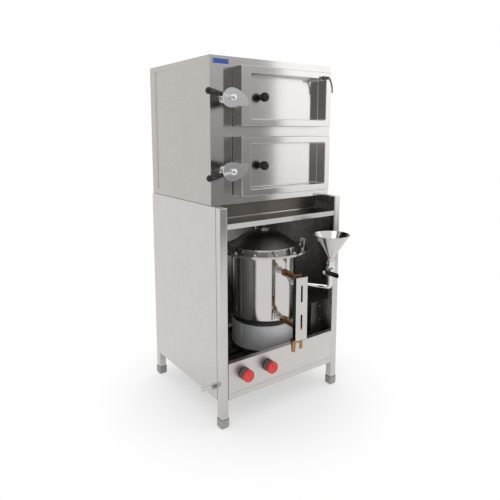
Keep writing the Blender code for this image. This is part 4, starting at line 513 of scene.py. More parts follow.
def tube(bore: float, radius: float, low: float, high: float) -> list[Point]:
    """The outline of a tube's wall, for a closed turned shape."""
    return [(bore, low), (radius, low), (radius, high), (bore, high)]


def cuboid(low: Point, high: Point) -> bmesh.types.BMesh:
    """Makes a box between two corners.

    Args:
        low: The lowest corner.
        high: The highest corner.

    Returns:
        Its mesh.
    """
    part = bmesh.new()
    low, high = Vector(low), Vector(high)
    place = Matrix.Translation((low + high) / 2) @ Matrix.Diagonal((*(high - low), 1.0))
    bmesh.ops.create_cube(part, size=1.0, matrix=place)
    return part


def show(name: str, data: bpy.types.ID) -> bpy.types.Object:
    """Puts a mesh, lamp or camera into the scene.

    Args:
        name: The new object's name.
        data: What it shows.

    Returns:
        The new object.
    """
    made = bpy.data.objects.new(name, data)
    bpy.context.scene.collection.objects.link(made)
    return made


def dress(node: str, ending: str, finish: Finish, edge: float = 0.0, segments: int = 2,
          least_deg: float = 35.0, **rest: str | float) -> None:
    """Stands a finished copy of a solid in its place.

    Args:
        node: The solid's name.
        ending: What the piece's name adds to it.
        finish: What it is made of.
        edge: How far its edges are rounded.
        segments: How many steps the rounding has.
        least_deg: The flattest edge that is rounded.
        rest: The body and crease of Form.make, if they differ from its own.
    """
    form = Form().node(node, edge, segments, least_deg)
    form.make(f"{node}_{ending}", finish, [node], **rest)


def ease(mesh: bmesh.types.BMesh, width: float, segments: int, least_deg: float = 35.0) -> None:
    """Rounds the edges of a mesh that are sharper than an angle.

    Args:
        mesh: The mesh.
        width: How far the rounding reaches from each edge.
        segments: How many steps it has.
        least_deg: The flattest edge that is rounded.
    """
    least = math.radians(least_deg)
    edges = [e for e in mesh.edges if len(e.link_faces) == 2 and e.calc_face_angle(0.0) > least]
    made = bmesh.ops.bevel(
        mesh, geom=edges, offset=width, segments=segments, profile=0.5, affect="EDGES",
        clamp_overlap=True, material=-1,
    )
    strips = set(made["faces"])
    for face in strips:
        for edge in face.edges:
            if sum(1 for other in edge.link_faces if other in strips) == 1:
                edge.smooth = False


def rounded(points: Sequence[Point], bend: float, steps: int = 10) -> list[Vector]:
    """The points of a route whose corners are round.

    Args:
        points: The route's corners.
        bend: The radius of each bend.
        steps: How many steps each bend has.

    Returns:
        The route's points.
    """
    corners = [Vector(point) for point in points]
    route = [corners[0]]
    for before, corner, after in zip(corners, corners[1:], corners[2:]):
        entry = (before - corner).normalized()
        leave = (after - corner).normalized()
        half = entry.angle(leave) / 2
        setback = bend / math.tan(half)
        centre = corner + (entry + leave).normalized() * (bend / math.sin(half))
        first = (corner + entry * setback - centre).normalized()
        last = (corner + leave * setback - centre).normalized()
        route += [centre + first.slerp(last, step / steps) * bend for step in range(steps + 1)]
    route.append(corners[-1])
    return route


def arc(middle: Point, radius: Point, start_deg: float, end_deg: float,
        steps: int) -> list[tuple[float, float]]:
    """Points of an outline along part of an ellipse.

    Args:
        middle: Its centre.
        radius: Its two half widths.
        start_deg: Where it starts, from the first axis.
        end_deg: Where it ends.
        steps: How many steps it has.

    Returns:
        The points, both ends among them.
    """
    angles = [
        math.radians(start_deg + (end_deg - start_deg) * step / steps) for step in range(steps + 1)
    ]
    return [
        (middle[0] + radius[0] * math.cos(a), middle[1] + radius[1] * math.sin(a)) for a in angles
    ]


@dataclass
class Stand:
    """The open stand: square posts in boots, rails, sheets, apron and drip shelf."""

    half_width: float = 0.306
    half_depth: float = 0.285
    post: float = 0.032
    post_bottom: float = 0.0083
    top: float = 0.860
    post_corner: float = 0.0035
    boot_edge: float = 0.0016
    rail_edge: float = 0.0009
    sheet_edge: float = 0.0006
    rivet: float = 0.0032
    rivet_height: float = 0.8505
    rivet_reach: float = 0.232
    wing_right: float = 0.268
    wing_left: float = 0.215
    wing_outer: float = 0.3042
    wing_top: float = 0.378
    wing_rivets: tuple[float, float] = (0.354, 0.288)
    shelf_half: float = 0.2737
    shelf_front: float = -0.285
    shelf_back: float = -0.1655
    shelf_z: float = 0.799
    shelf_top: float = 0.8597
    shelf_lip: float = 0.021
    shelf_sheet: float = 0.0015
    lip_lean: float = 0.003
    fold: float = 0.0025
    lining: tuple[float, float, float] = (0.3042, 0.2500, 0.8285)
    pan: tuple[float, float] = (0.2735, 0.2607)
    pan_bottom: float = 0.112
    rail_top: float = 0.134

    def posts(self) -> None:
        """Square tubes with rounded corners, each in its moulded boot."""
        for depth, near in (("front", -1), ("back", 1)):
            for side, sign in (("left", -1), ("right", 1)):
                x = sign * (self.half_width - self.post / 2)
                y = near * (self.half_depth - self.post / 2)
                half = self.post / 2
                name = f"post_{depth}_{side}"
                Form().block(
                    (x - half, y - half, self.post_bottom), (x + half, y + half, self.top),
                    self.post_corner, 3,
                ).make(f"{name}_tube", STANDING, [name])
                dress(f"foot_{depth}_{side}", "boot", BOOT, self.boot_edge, 3, 20.0)

    def rails(self) -> None:
        """The rails that tie the posts."""
        for name in ("top_rail_left", "top_rail_right", "lower_rail_left", "lower_rail_right",
                     "lower_rail_back"):
            dress(name, "tube", MILL, self.rail_edge)
        dress("lower_rail_front", "tube", SATIN, self.rail_edge)

    def sheets(self) -> None:
        """Folded sheets round the stand, with the rivets that hold them."""
        for name in ("side_panel_left", "side_panel_right", "back_panel"):
            dress(name, "sheet", SIDING, self.sheet_edge)
        dress("apron_panel", "sheet", SATIN, self.sheet_edge)
        rivets = Form()
        head = arc((0.0, 0.0), (self.rivet, self.rivet * 0.45), 0.0, 90.0, 6)
        for sign in (-1, 1):
            for reach in (-self.rivet_reach, self.rivet_reach):
                spot = (sign * (self.half_width - SEAT), reach, self.rivet_height)
                rivets.lathe([(0.0, 0.0)] + head, spot, RIGHT * sign, 24)
        face = FRONT - self.shelf_sheet / 2
        for height in self.wing_rivets:
            spot = (self.wing_right, face + SEAT, height)
            rivets.lathe([(0.0, 0.0)] + head, spot, AHEAD, 24)
        rivets.make("stand_rivets", CHROME, slot="side_panel_left")

    def drip_shelf(self) -> None:
        """The shelf under the doors, its lip leaning in, and the sheet behind it, darkened with
        painted shade.
        """
        wide, sheet = self.shelf_half, self.shelf_sheet
        back = self.shelf_back - sheet - SEAT
        form = Form().block((-wide, self.shelf_front, self.shelf_z - sheet),
                            (wide, back, self.shelf_z), 0.0006)
        lip = Form().block((-wide, self.shelf_front, self.shelf_z - self.shelf_lip),
                           (wide, self.shelf_front + sheet, self.shelf_z - sheet / 2), 0.0004)
        for vert in lip.mesh.verts:
            vert.co.y += self.lip_lean * (self.shelf_z - vert.co.z) / self.shelf_lip
        form.take(lip.mesh)
        form.block((-wide, back - self.fold, self.shelf_z - sheet / 2),
                   (wide, back, self.shelf_z + self.fold), 0.0010, 3)
        form.make("drip_shelf_plate", FACING, ["drip_shelf"])
        # The upright sheet behind the shelf takes a dark colour as painted shade.
        Form().block((-wide, self.shelf_back - sheet, self.shelf_z - sheet),
                     (wide, self.shelf_back, self.shelf_top), 0.0005).make(
            "drip_shelf_upstand", PAINTED_SHADE_STEEL, slot="drip_shelf")

    def inside(self) -> None:
        """The pale sheet that lines the left side, and the stiffener's face and the spill pan,
        both darkened with painted shade.
        """
        x, y, high = self.lining
        sheet, low = self.shelf_sheet, self.rail_top + SEAT
        Form().block((-x, -y, low), (-x + sheet, y, high), 0.0004).make(
            "side_lining_left", GALVANISED, slot="side_panel_left")
        # A thin sheet on the stiffener's front, dark with painted shade.
        Form().block((self.wing_left, FRONT - sheet / 2, low),
                     (self.wing_outer, FRONT + SEAT, self.wing_top), 0.0003).make(
            "stiffener_face_painted_shade", PAINTED_SHADE_STEEL, slot="side_panel_right")
        # The spill pan under the stand is dark with painted shade.
        x, y = self.pan
        low, high = self.pan_bottom, self.rail_top
        form = Form()
        for start, end in (
            ((-x, -y, low), (x, y, low + sheet)),
            ((-x, -y, low), (x, -y + sheet, high)), ((-x, -y, low), (-x + sheet, y, high)),
            ((-x, y - sheet, low), (x, y, high)), ((x - sheet, -y, low), (x, y, high)),
        ):
            form.block(start, end, 0.0004)
        form.make("spill_pan", PAINTED_SHADE_STEEL, slot="lower_rail_front")

    def build(self) -> None:
        """Makes the whole stand."""
        self.posts()
        self.rails()
        self.sheets()
        self.drip_shelf()
        self.inside()


@dataclass
class Boiler:
    """The water vessel with its bolted lid, over the burner housing."""

    radius: float = 0.1395
    wall: float = 0.0025
    bottom: float = 0.337
    corner: float = 0.010
    top: float = 0.6295
    flange: float = 0.1915
    flange_thickness: float = 0.005
    lid_plate: float = 0.004
    collar: float = 0.148
    collar_height: float = 0.0155
    bead: float = 0.003
    dome: float = 0.060
    crown_sheet: float = 0.002
    boss: float = 0.026
    boss_height: float = 0.010
    bore: float = 0.014
    bolt_circle: float = 0.172
    bolts: int = 12
    bolt_turn_deg: float = -19.5
    bolt_head: float = 0.0085
    bolt_height: float = 0.0065
    nut_height: float = 0.0061
    washer: float = 0.010625
    washer_height: float = 0.0012
    hook_circle: float = 0.184
    hook_turn_deg: float = -26.0
    hook_height: float = 0.032
    hook_reach: float = 0.014
    hook_rod: float = 0.0035
    ring_height: float = 0.016
    ring_inset: float = 0.005
    ring_width: float = 0.012
    skirt_bottom: float = 0.214
    skirt_wall: float = 0.002
    seam_deg: float = -80.0
    seam_root: float = 0.0008
    sunk: float = 0.001
    weld: float = 0.0026
    weld_rise: float = 0.0015
    stub: float = 0.0125
    stubs: tuple[tuple[float, float, float], ...] = (
        (-9.0, 0.565, 0.044), (-9.0, 0.365, 0.044), (32.0, 0.4875, 0.030),
    )

    def shell(self) -> None:
        """The rolled vessel with its flange, pipe stubs and weld beads."""
        inner = self.radius - self.wall
        floor = self.bottom + self.wall
        low = self.top - self.flange_thickness
        form = Form().lathe(
            [
                (0.0, self.bottom), (self.radius - self.corner, self.bottom),
                *arc((self.radius - self.corner, self.bottom + self.corner),
                     (self.corner, self.corner), -80.0, 0.0, 6),
                (self.radius, low - 0.004), (self.radius, low), (self.flange, low),
                (self.flange, self.top), (inner, self.top), (inner, floor + self.corner),
                (inner - self.corner, floor), (0.0, floor),
            ],
            steps=LARGE, edge=0.0008,
        )
        for turn_deg, height, length in self.stubs:
            angle = math.radians(turn_deg)
            out = Vector((math.sin(angle), -math.cos(angle), 0.0))
            foot = UP * height + out * (self.radius - self.sunk)
            form.rod(foot, foot + out * (length + self.sunk), self.stub, sides=FINE, edge=0.0006)
            form.lathe(
                arc((self.stub, self.weld_rise), (self.weld, self.weld), 0.0, 330.0, 11),
                foot, out, 40, closed=True,
            )
        self.seam(form, 0.0022, 0.0005, self.bottom + self.corner, low)
        form.shift(BOILER).make(
            "boiler_vessel", BUFFED, ["boiler_shell"])

    def seam(self, form: Form, half: float, rise: float, low: float, high: float) -> None:
        """Adds an upright seam on the boiler's left.

        Args:
            form: The form that gets it.
            half: Half its width.
            rise: How far it stands out.
            low: Its lower end.
            high: Its upper end.
        """
        strip = Form().block((-half, -self.radius - rise, low),
                             (half, -self.radius + self.seam_root, high), 0.0003)
        form.take(strip.turn(self.seam_deg).mesh)

    def lid(self) -> None:
        """The domed lid with its rolled rim, hexagon bolts and lifting hook."""
        low = self.top + SEAT
        plate = low + self.lid_plate
        rim = plate + self.collar_height
        start = self.collar - 2 * self.bead
        peak = rim + self.dome
        form = Form().lathe(
            [
                (self.flange, low), (self.flange, plate), (self.collar, plate),
                (self.collar, rim - 0.002),
                *arc((self.collar - self.bead, rim), (self.bead, self.bead), 0.0, 170.0, 8),
                (start, rim - 0.0005), (start, low),
            ],
            steps=LARGE, closed=True, edge=0.0007,
        )
        form.shift(BOILER).make(
            "boiler_lid_ring", BUFFED, ["boiler_lid"])
        bow = [
            (start - SEAT + (self.boss - start) * step / 24,
             self.dome * math.sin(step / 24 * math.pi / 2))
            for step in range(24)
        ]
        Form().lathe(
            [
                *[(radius, rim - 0.0005 + height) for radius, height in bow],
                (self.boss, peak), (self.boss, peak + self.boss_height),
                (self.bore, peak + self.boss_height), (self.bore, peak - self.crown_sheet),
                *[(radius, rim - 0.0005 - self.crown_sheet + height)
                  for radius, height in reversed(bow)],
            ],
            steps=LARGE, closed=True,
        ).shift(BOILER).make(
            "boiler_lid_crown", MILL, slot="boiler_lid")
        heads = Form()
        under = -self.lid_plate - self.flange_thickness - SEAT
        for index in range(self.bolts):
            angle = 2 * math.pi * index / self.bolts + math.radians(self.bolt_turn_deg)
            spot = Vector((math.cos(angle), math.sin(angle), 0.0)) * self.bolt_circle
            heads.bars(
                spot + UP * plate, UP,
                (0.0, self.washer_height, self.washer, ROUND, 0.0003),
                (self.washer_height - 0.0002, self.bolt_height, self.bolt_head, HEX, 0.0007),
                (under - self.nut_height, under, self.bolt_head, HEX, 0.0007),
            )
        heads.shift(BOILER).make(
            "boiler_lid_bolts", CHROME, slot="boiler_lid")
        angle = math.radians(self.hook_turn_deg)
        out = Vector((math.cos(angle), math.sin(angle), 0.0))
        foot = out * self.hook_circle + Vector((0.0, 0.0, plate - 0.001))
        crown = foot + Vector((0.0, 0.0, self.hook_height))
        tip = crown - out * self.hook_reach
        drop = tip - Vector((0.0, 0.0, self.hook_reach))
        route = rounded((foot, crown, tip, drop), self.hook_reach / 2 - 0.001, 8)
        Form().pipe(route, self.hook_rod, 16).shift(BOILER).make(
            "boiler_lid_hook", CHROME, slot="boiler_lid")

    def housing(self) -> None:
        """The black ring under the vessel and the rolled skirt round the flames."""
        outer = self.radius - self.ring_inset
        high = self.bottom - SEAT
        low = high - self.ring_height
        Form().lathe(
            tube(outer - self.ring_width, outer, low, high), steps=LARGE, closed=True, edge=0.0012,
        ).shift(BOILER).make("boiler_seat_ring", FLAT_BLACK, ["boiler_base_ring"])
        top = low - SEAT
        inner = self.radius - self.skirt_wall
        ledge = outer - self.ring_width
        form = Form().lathe(
            [
                (self.radius, self.skirt_bottom), (self.radius, top), (ledge, top),
                (ledge, top - self.skirt_wall), (inner, top - self.skirt_wall),
                (inner, self.skirt_bottom),
            ],
            steps=LARGE, closed=True, edge=0.0007,
        )
        self.seam(form, 0.0035, 0.0007, self.skirt_bottom + self.sunk, top - self.sunk)
        form.shift(BOILER).make("burner_housing", GALVANISED, ["burner_skirt"])

    def burner(self) -> None:
        """The trivet and the ring burner, both blackened castings."""
        dress("boiler_trivet", "casting", IRON, 0.0008)
        dress("ring_burner", "casting", IRON, crease_deg=50.0)

    def build(self) -> None:
        """Makes the whole boiler group."""
        self.shell()
        self.lid()
        self.housing()
        self.burner()


@dataclass
class GasControls:
    """The brass manifold behind the apron and the two red knobs."""

    knobs: tuple[tuple[str, float], ...] = (("left", -0.202), ("right", -0.085))
    height: float = 0.203
    face: float = -0.288
    radius: float = 0.0245
    length: float = 0.036
    cap: float = 0.013
    pointer_half: float = 0.0016
    pointer_depth: float = 0.0035
    pointer_reach: tuple[float, float] = (0.0035, 0.0200)
    flutes: int = 24
    flute_depth: float = 0.0007
    pipe_y: float = -0.229
    pipe_z: float = 0.155
    pipe: float = 0.0085
    pipe_start: float = -0.318
    pipe_end: float = -0.060
    nut: float = 0.0125
    nut_left: float = -0.3183
    nut_right: float = -0.3063
    riser: float = 0.0104
    valve: float = 0.012
    valve_half: float = 0.023
    gland: float = 0.0135
    gland_reach: tuple[float, float] = (0.026, 0.012)
    stem: float = 0.004
    stem_reach: tuple[float, float] = (0.0224, 0.0787)
    barbs: int = 3
    barb: float = 0.0095
    barb_root: float = 0.0065
    barb_start: float = -0.364

    def manifold(self) -> None:
        """The barbed hose nipple, and the pipe with its valves."""
        y, z = self.pipe_y, self.pipe_z
        pitch = (self.nut_left - self.barb_start) / self.barbs
        outline = [(0.0, 0.0)]
        for index in range(self.barbs):
            outline += [
                (self.barb_root, pitch * index), (self.barb, pitch * (index + 0.85)),
                (self.barb, pitch * (index + 0.97)),
            ]
        outline += [(self.barb_root, pitch * self.barbs), (0.0, pitch * self.barbs)]
        Form().bars(
            (0.0, y, z), RIGHT, (self.nut_left, self.nut_right, self.nut, HEX, 0.0006),
        ).lathe(
            outline, (self.barb_start, y, z), RIGHT, FINE, edge=0.0003,
        ).make("gas_hose_nipple", CHROME, slot="gas_manifold")
        form = Form().bars((0.0, y, z), RIGHT,
                           (self.pipe_start, self.pipe_end, self.pipe, FINE, 0.0005))
        for _, x in self.knobs:
            form.rod((x, y, z), (x, y, self.height), self.riser)
            form.bars(
                (x, y, self.height), AHEAD,
                (self.valve_half, -self.valve_half, self.valve, ROUND, 0.0006),
                (*self.gland_reach, self.gland, HEX, 0.0005),
                (*self.stem_reach, self.stem, THIN, 0.0),
            )
        form.make("gas_manifold_brass", BRASS, ["gas_manifold"])

    def knob(self, name: str, x: float) -> None:
        """One moulded knob: a charcoal skirt and a fluted red cap with a raised pointer.

        Args:
            name: Which knob it is.
            x: How far it stands from the middle of the stand.
        """
        r, deep, cap = self.radius, self.length, self.length - self.cap
        place = (x, self.face, self.height)
        Form().lathe(
            [
                (0.0, 0.0), (r - 0.0012, 0.0), (r, 0.0022), (r, 0.0075), (r - 0.0018, 0.0092),
                (r - 0.0030, cap - SEAT), (0.0, cap - SEAT),
            ],
            place, AHEAD, 96, edge=0.0004,
        ).make(f"gas_knob_{name}_skirt", CHARCOAL, body=f"gas_tap_{name}",
               slot=f"gas_knob_{name}")
        form = Form().lathe(
            [
                (0.0, cap), (r - 0.0012, cap), (r - 0.0002, cap + 0.0012),
                (r - 0.0002, deep - 0.0045),
                *arc((r - 0.0046, deep - 0.0045), (0.0044, 0.0045), 0.0, 90.0, 5),
                (0.0165, deep), (0.0147, deep - 0.0018), (0.0, deep - 0.0024),
            ],
            place, AHEAD, self.flutes * 6, edge=0.0004,
        )
        form.flute(Vector(place), self.flutes, self.flute_depth, r - 0.0035, cap + 0.0010)
        start, end = self.pointer_reach
        form.block(
            (x - self.pointer_half, self.face - deep - SEAT, self.height + start),
            (x + self.pointer_half, self.face - deep + self.pointer_depth, self.height + end),
            0.0006,
        )
        form.make(f"gas_knob_{name}_moulding", RED_ABS, [f"gas_knob_{name}"], f"gas_tap_{name}")

    def build(self) -> None:
        """Makes the manifold and both knobs."""
        self.manifold()
        for name, x in self.knobs:
            self.knob(name, x)


@dataclass
class Gauge:
    """The water gauge: brass cocks, glass tube, bent guard and drain cock."""

    turn_deg: float = -9.0
    upper: float = 0.565
    lower: float = 0.365
    glass_reach: float = 0.285
    near: float = 0.1838
    far: float = 0.3122
    cock: float = 0.011
    nut: float = 0.017
    nut_length: float = 0.020
    gland: float = 0.0125
    gland_start: float = 0.024
    gland_end: float = 0.050
    socket: float = 0.0135
    socket_length: float = 0.044
    socket_bore: float = 0.010
    socket_reach: float = 0.024
    glass: float = 0.007
    glass_wall: float = 0.0015
    drain: float = 0.315
    tail: float = 0.0089
    tail_drop: float = 0.0203
    tail_nut: float = 0.012
    tail_nut_length: float = 0.010
    body: float = 0.0115
    body_reach: tuple[float, float] = (-0.026, 0.010)
    spout_x: float = -0.017
    spout_tip: float = 0.0075
    spout_length: float = 0.046
    stem: float = 0.004
    stem_reach: tuple[float, float] = (0.0094, 0.022)
    lever_hub: float = 0.007
    lever_reach: tuple[float, float] = (0.011, 0.025)
    lever_half: float = 0.002
    lever_length: float = 0.040

    def place(self, form: Form) -> Form:
        """Turns a form to the gauge's side of the boiler."""
        return form.turn(self.turn_deg).shift(BOILER)

    def cocks(self) -> None:
        """The upper and lower cock with their nuts and gland sockets."""
        near, bore = self.near, self.glass + SEAT
        for name, z, sign in (("upper", self.upper, -1), ("lower", self.lower, 1)):
            form = Form().bars(
                (0.0, 0.0, z), AHEAD, (near, self.far, self.cock, FINE, 0.0006),
                (near, near + self.nut_length, self.nut, HEX, 0.001),
                (near + self.gland_start, near + self.gland_end, self.gland, FINE, 0.0008),
            ).lathe(
                [
                    (bore, 0.0), (self.socket, 0.0), (self.socket, self.socket_length),
                    (0.0, self.socket_length), (0.0, self.socket_bore), (bore, self.socket_bore),
                ],
                (0.0, -self.glass_reach, z + sign * self.socket_reach), UP * -sign, 40,
                closed=True, edge=0.0006,
            )
            self.place(form).make(f"gauge_cock_{name}_brass", BRASS, [f"gauge_cock_{name}"])

    def tube(self) -> None:
        """The glass tube and the bent guard in front of it."""
        end = self.socket_reach - self.socket_bore + SEAT
        form = Form().lathe(
            tube(self.glass - self.glass_wall, self.glass, self.lower + end, self.upper - end),
            (0.0, -self.glass_reach, 0.0), steps=FINE, closed=True, edge=0.0003,
        )
        self.place(form).make("gauge_glass_tube", GLASS, ["gauge_glass"])
        dress("gauge_guard", "sheet", BUFFED, 0.0006)

    def drain_cock(self) -> None:
        """The drain cock with its spout, and the lever that turns on it."""
        hub = Vector((0.0, -self.glass_reach, self.drain))
        drop = self.lower - self.drain - self.tail_drop
        spout = hub + RIGHT * self.spout_x
        form = Form().bars(
            hub, UP, (drop, 0.0, self.tail, ROUND, 0.0),
            (drop, drop - self.tail_nut_length, self.tail_nut, HEX, 0.0005),
        ).bars(
            hub, RIGHT, (*self.body_reach, self.body, ROUND, 0.0008),
            (*self.stem_reach, self.stem, THIN, 0.0004),
        ).rod(spout, spout - UP * self.spout_length, self.body, self.spout_tip, ROUND, 0.0008)
        self.place(form).make("gauge_drain_cock_brass", BRASS, ["gauge_drain_cock"])
        near, far = self.lever_reach
        lever = Form().bars(hub, RIGHT, (near, far, self.lever_hub, ROUND, 0.0007)).block(
            hub + Vector((near, -self.lever_half, -self.lever_length)),
            hub + Vector((far, self.lever_half, 0.0)), 0.0008,
        )
        self.place(lever).make("gauge_drain_lever_brass", BRASS, ["gauge_drain_lever"],
                               "drain_tap")

    def build(self) -> None:
        """Makes the whole gauge."""
        self.cocks()
        self.tube()
        self.drain_cock()


@dataclass
class Filler:
    """The fill pipe with its ball valve, lever and funnel."""

    x: float = 0.204
    y: float = -0.33742
    pipe_z: float = 0.4875
    start: float = 0.1698
    pipe: float = 0.0105
    bend: float = 0.0125
    low: float = 0.535
    high: float = 0.600
    screwed: float = 0.001
    hexagon: float = 0.0165
    ball: float = 0.0185
    union: float = 0.0165
    union_length: float = 0.022
    stem_z: float = 0.556
    stem_boss: float = 0.009
    stem_boss_length: float = 0.026
    stem: float = 0.005
    stem_length: float = 0.0341
    stem_nut: float = 0.0085
    stem_nut_reach: tuple[float, float] = (0.0306, 0.0376)
    funnel_height: float = 0.112
    funnel: float = 0.0780
    neck: float = 0.0125
    sheet: float = 0.0012
    rim: float = 0.003

    def pipework(self) -> None:
        """The bent pipe, its union nut and the valve with its stem."""
        foot = Vector((self.x, self.y, 0.0))
        run = (foot - BOILER).normalized()
        start = BOILER + run * self.start + UP * self.pipe_z
        third = (self.high - self.low) / 3
        quarter = (self.high - self.low) / 4
        waist = self.hexagon - 0.0015
        form = Form().pipe(
            rounded((start, foot + UP * self.pipe_z, foot + UP * (self.low + self.screwed)),
                    self.bend, 12),
            self.pipe, 40,
        ).bars(
            start, run, (0.0, self.union_length, self.union, HEX, 0.001),
        ).bars(
            foot, UP, (self.low, self.low + quarter, self.hexagon, HEX, 0.0008),
            (self.high - quarter, self.high, self.hexagon, HEX, 0.0008),
        ).lathe(
            [
                (0.0, self.low + quarter / 2), (waist, self.low + quarter / 2),
                *arc((0.0, (self.low + self.high) / 2), (self.ball, third), -50.0, 50.0, 12),
                (waist, self.high - quarter / 2), (0.0, self.high - quarter / 2),
            ],
            foot, steps=48,
        ).bars(
            foot + UP * self.stem_z, -RIGHT,
            (0.0, self.stem_boss_length, self.stem_boss, FINE, 0.0006),
            (0.0, self.stem_length, self.stem, THIN, 0.0004),
            (*self.stem_nut_reach, self.stem_nut, HEX, 0.0006),
        )
        form.make("fill_pipework", CHROME, ["fill_pipe_and_valve"])

    def lever(self) -> None:
        """The flat lever in its dipped black sleeve."""
        dress("fill_valve_lever", "sleeve", PHENOLIC, 0.0010, body="fill_tap")

    def funnel_cone(self) -> None:
        """The spun funnel with its rolled rim."""
        low = self.high + SEAT
        high = low + self.funnel_height
        edge = self.funnel - self.rim / 2
        Form().lathe(
            [
                (self.neck, low), (self.neck, low + self.neck - 0.002),
                (self.neck + 0.001, low + self.neck + 0.0015), (edge - 0.0004, high - self.rim),
                *arc((edge, high - self.rim / 2), (self.rim / 2, self.rim / 2), -80.0, 170.0, 10),
                (edge - 0.002, high - self.rim * 0.7),
                (self.neck - self.sheet, low + self.neck + self.sheet),
                (self.neck - self.sheet, low),
            ],
            (self.x, self.y, 0.0), steps=96, closed=True,
        ).make("fill_funnel_cone", BUFFED, ["fill_funnel"])

    def build(self) -> None:
        """Makes the whole filler."""
        self.pipework()
        self.lever()
        self.funnel_cone()


@dataclass
class SteamPipe:
    """The flanged pipe from the lid into the lower chamber."""

    low: float = 0.7197
    high: float = 0.917
    radius: float = 0.017
    bore: float = 0.014
    flange: float = 0.026
    flange_thickness: float = 0.006
    union: float = 0.027
    union_z: float = 0.8297
    union_height: float = 0.024

    def build(self) -> None:
        """Makes the pipe, its flange and its union nut."""
        root = self.low + self.flange_thickness
        half = self.union_height / 2
        # The pipe's dark colour is painted shade, so that it sinks into the shadow inside the
        # stand.
        Form().lathe(
            [
                (self.bore, self.low), (self.flange, self.low), (self.flange, root),
                (self.radius, root), (self.radius, self.high), (self.bore, self.high),
            ],
            BOILER, steps=48, closed=True, edge=0.0006,
        ).lathe(
            tube(self.bore + 0.001, self.union, -half, half), BOILER + UP * self.union_z,
            steps=HEX, closed=True, edge=0.0008,
        ).make("steam_riser_pipe", PAINTED_SHADE_STEEL, ["steam_pipe"])


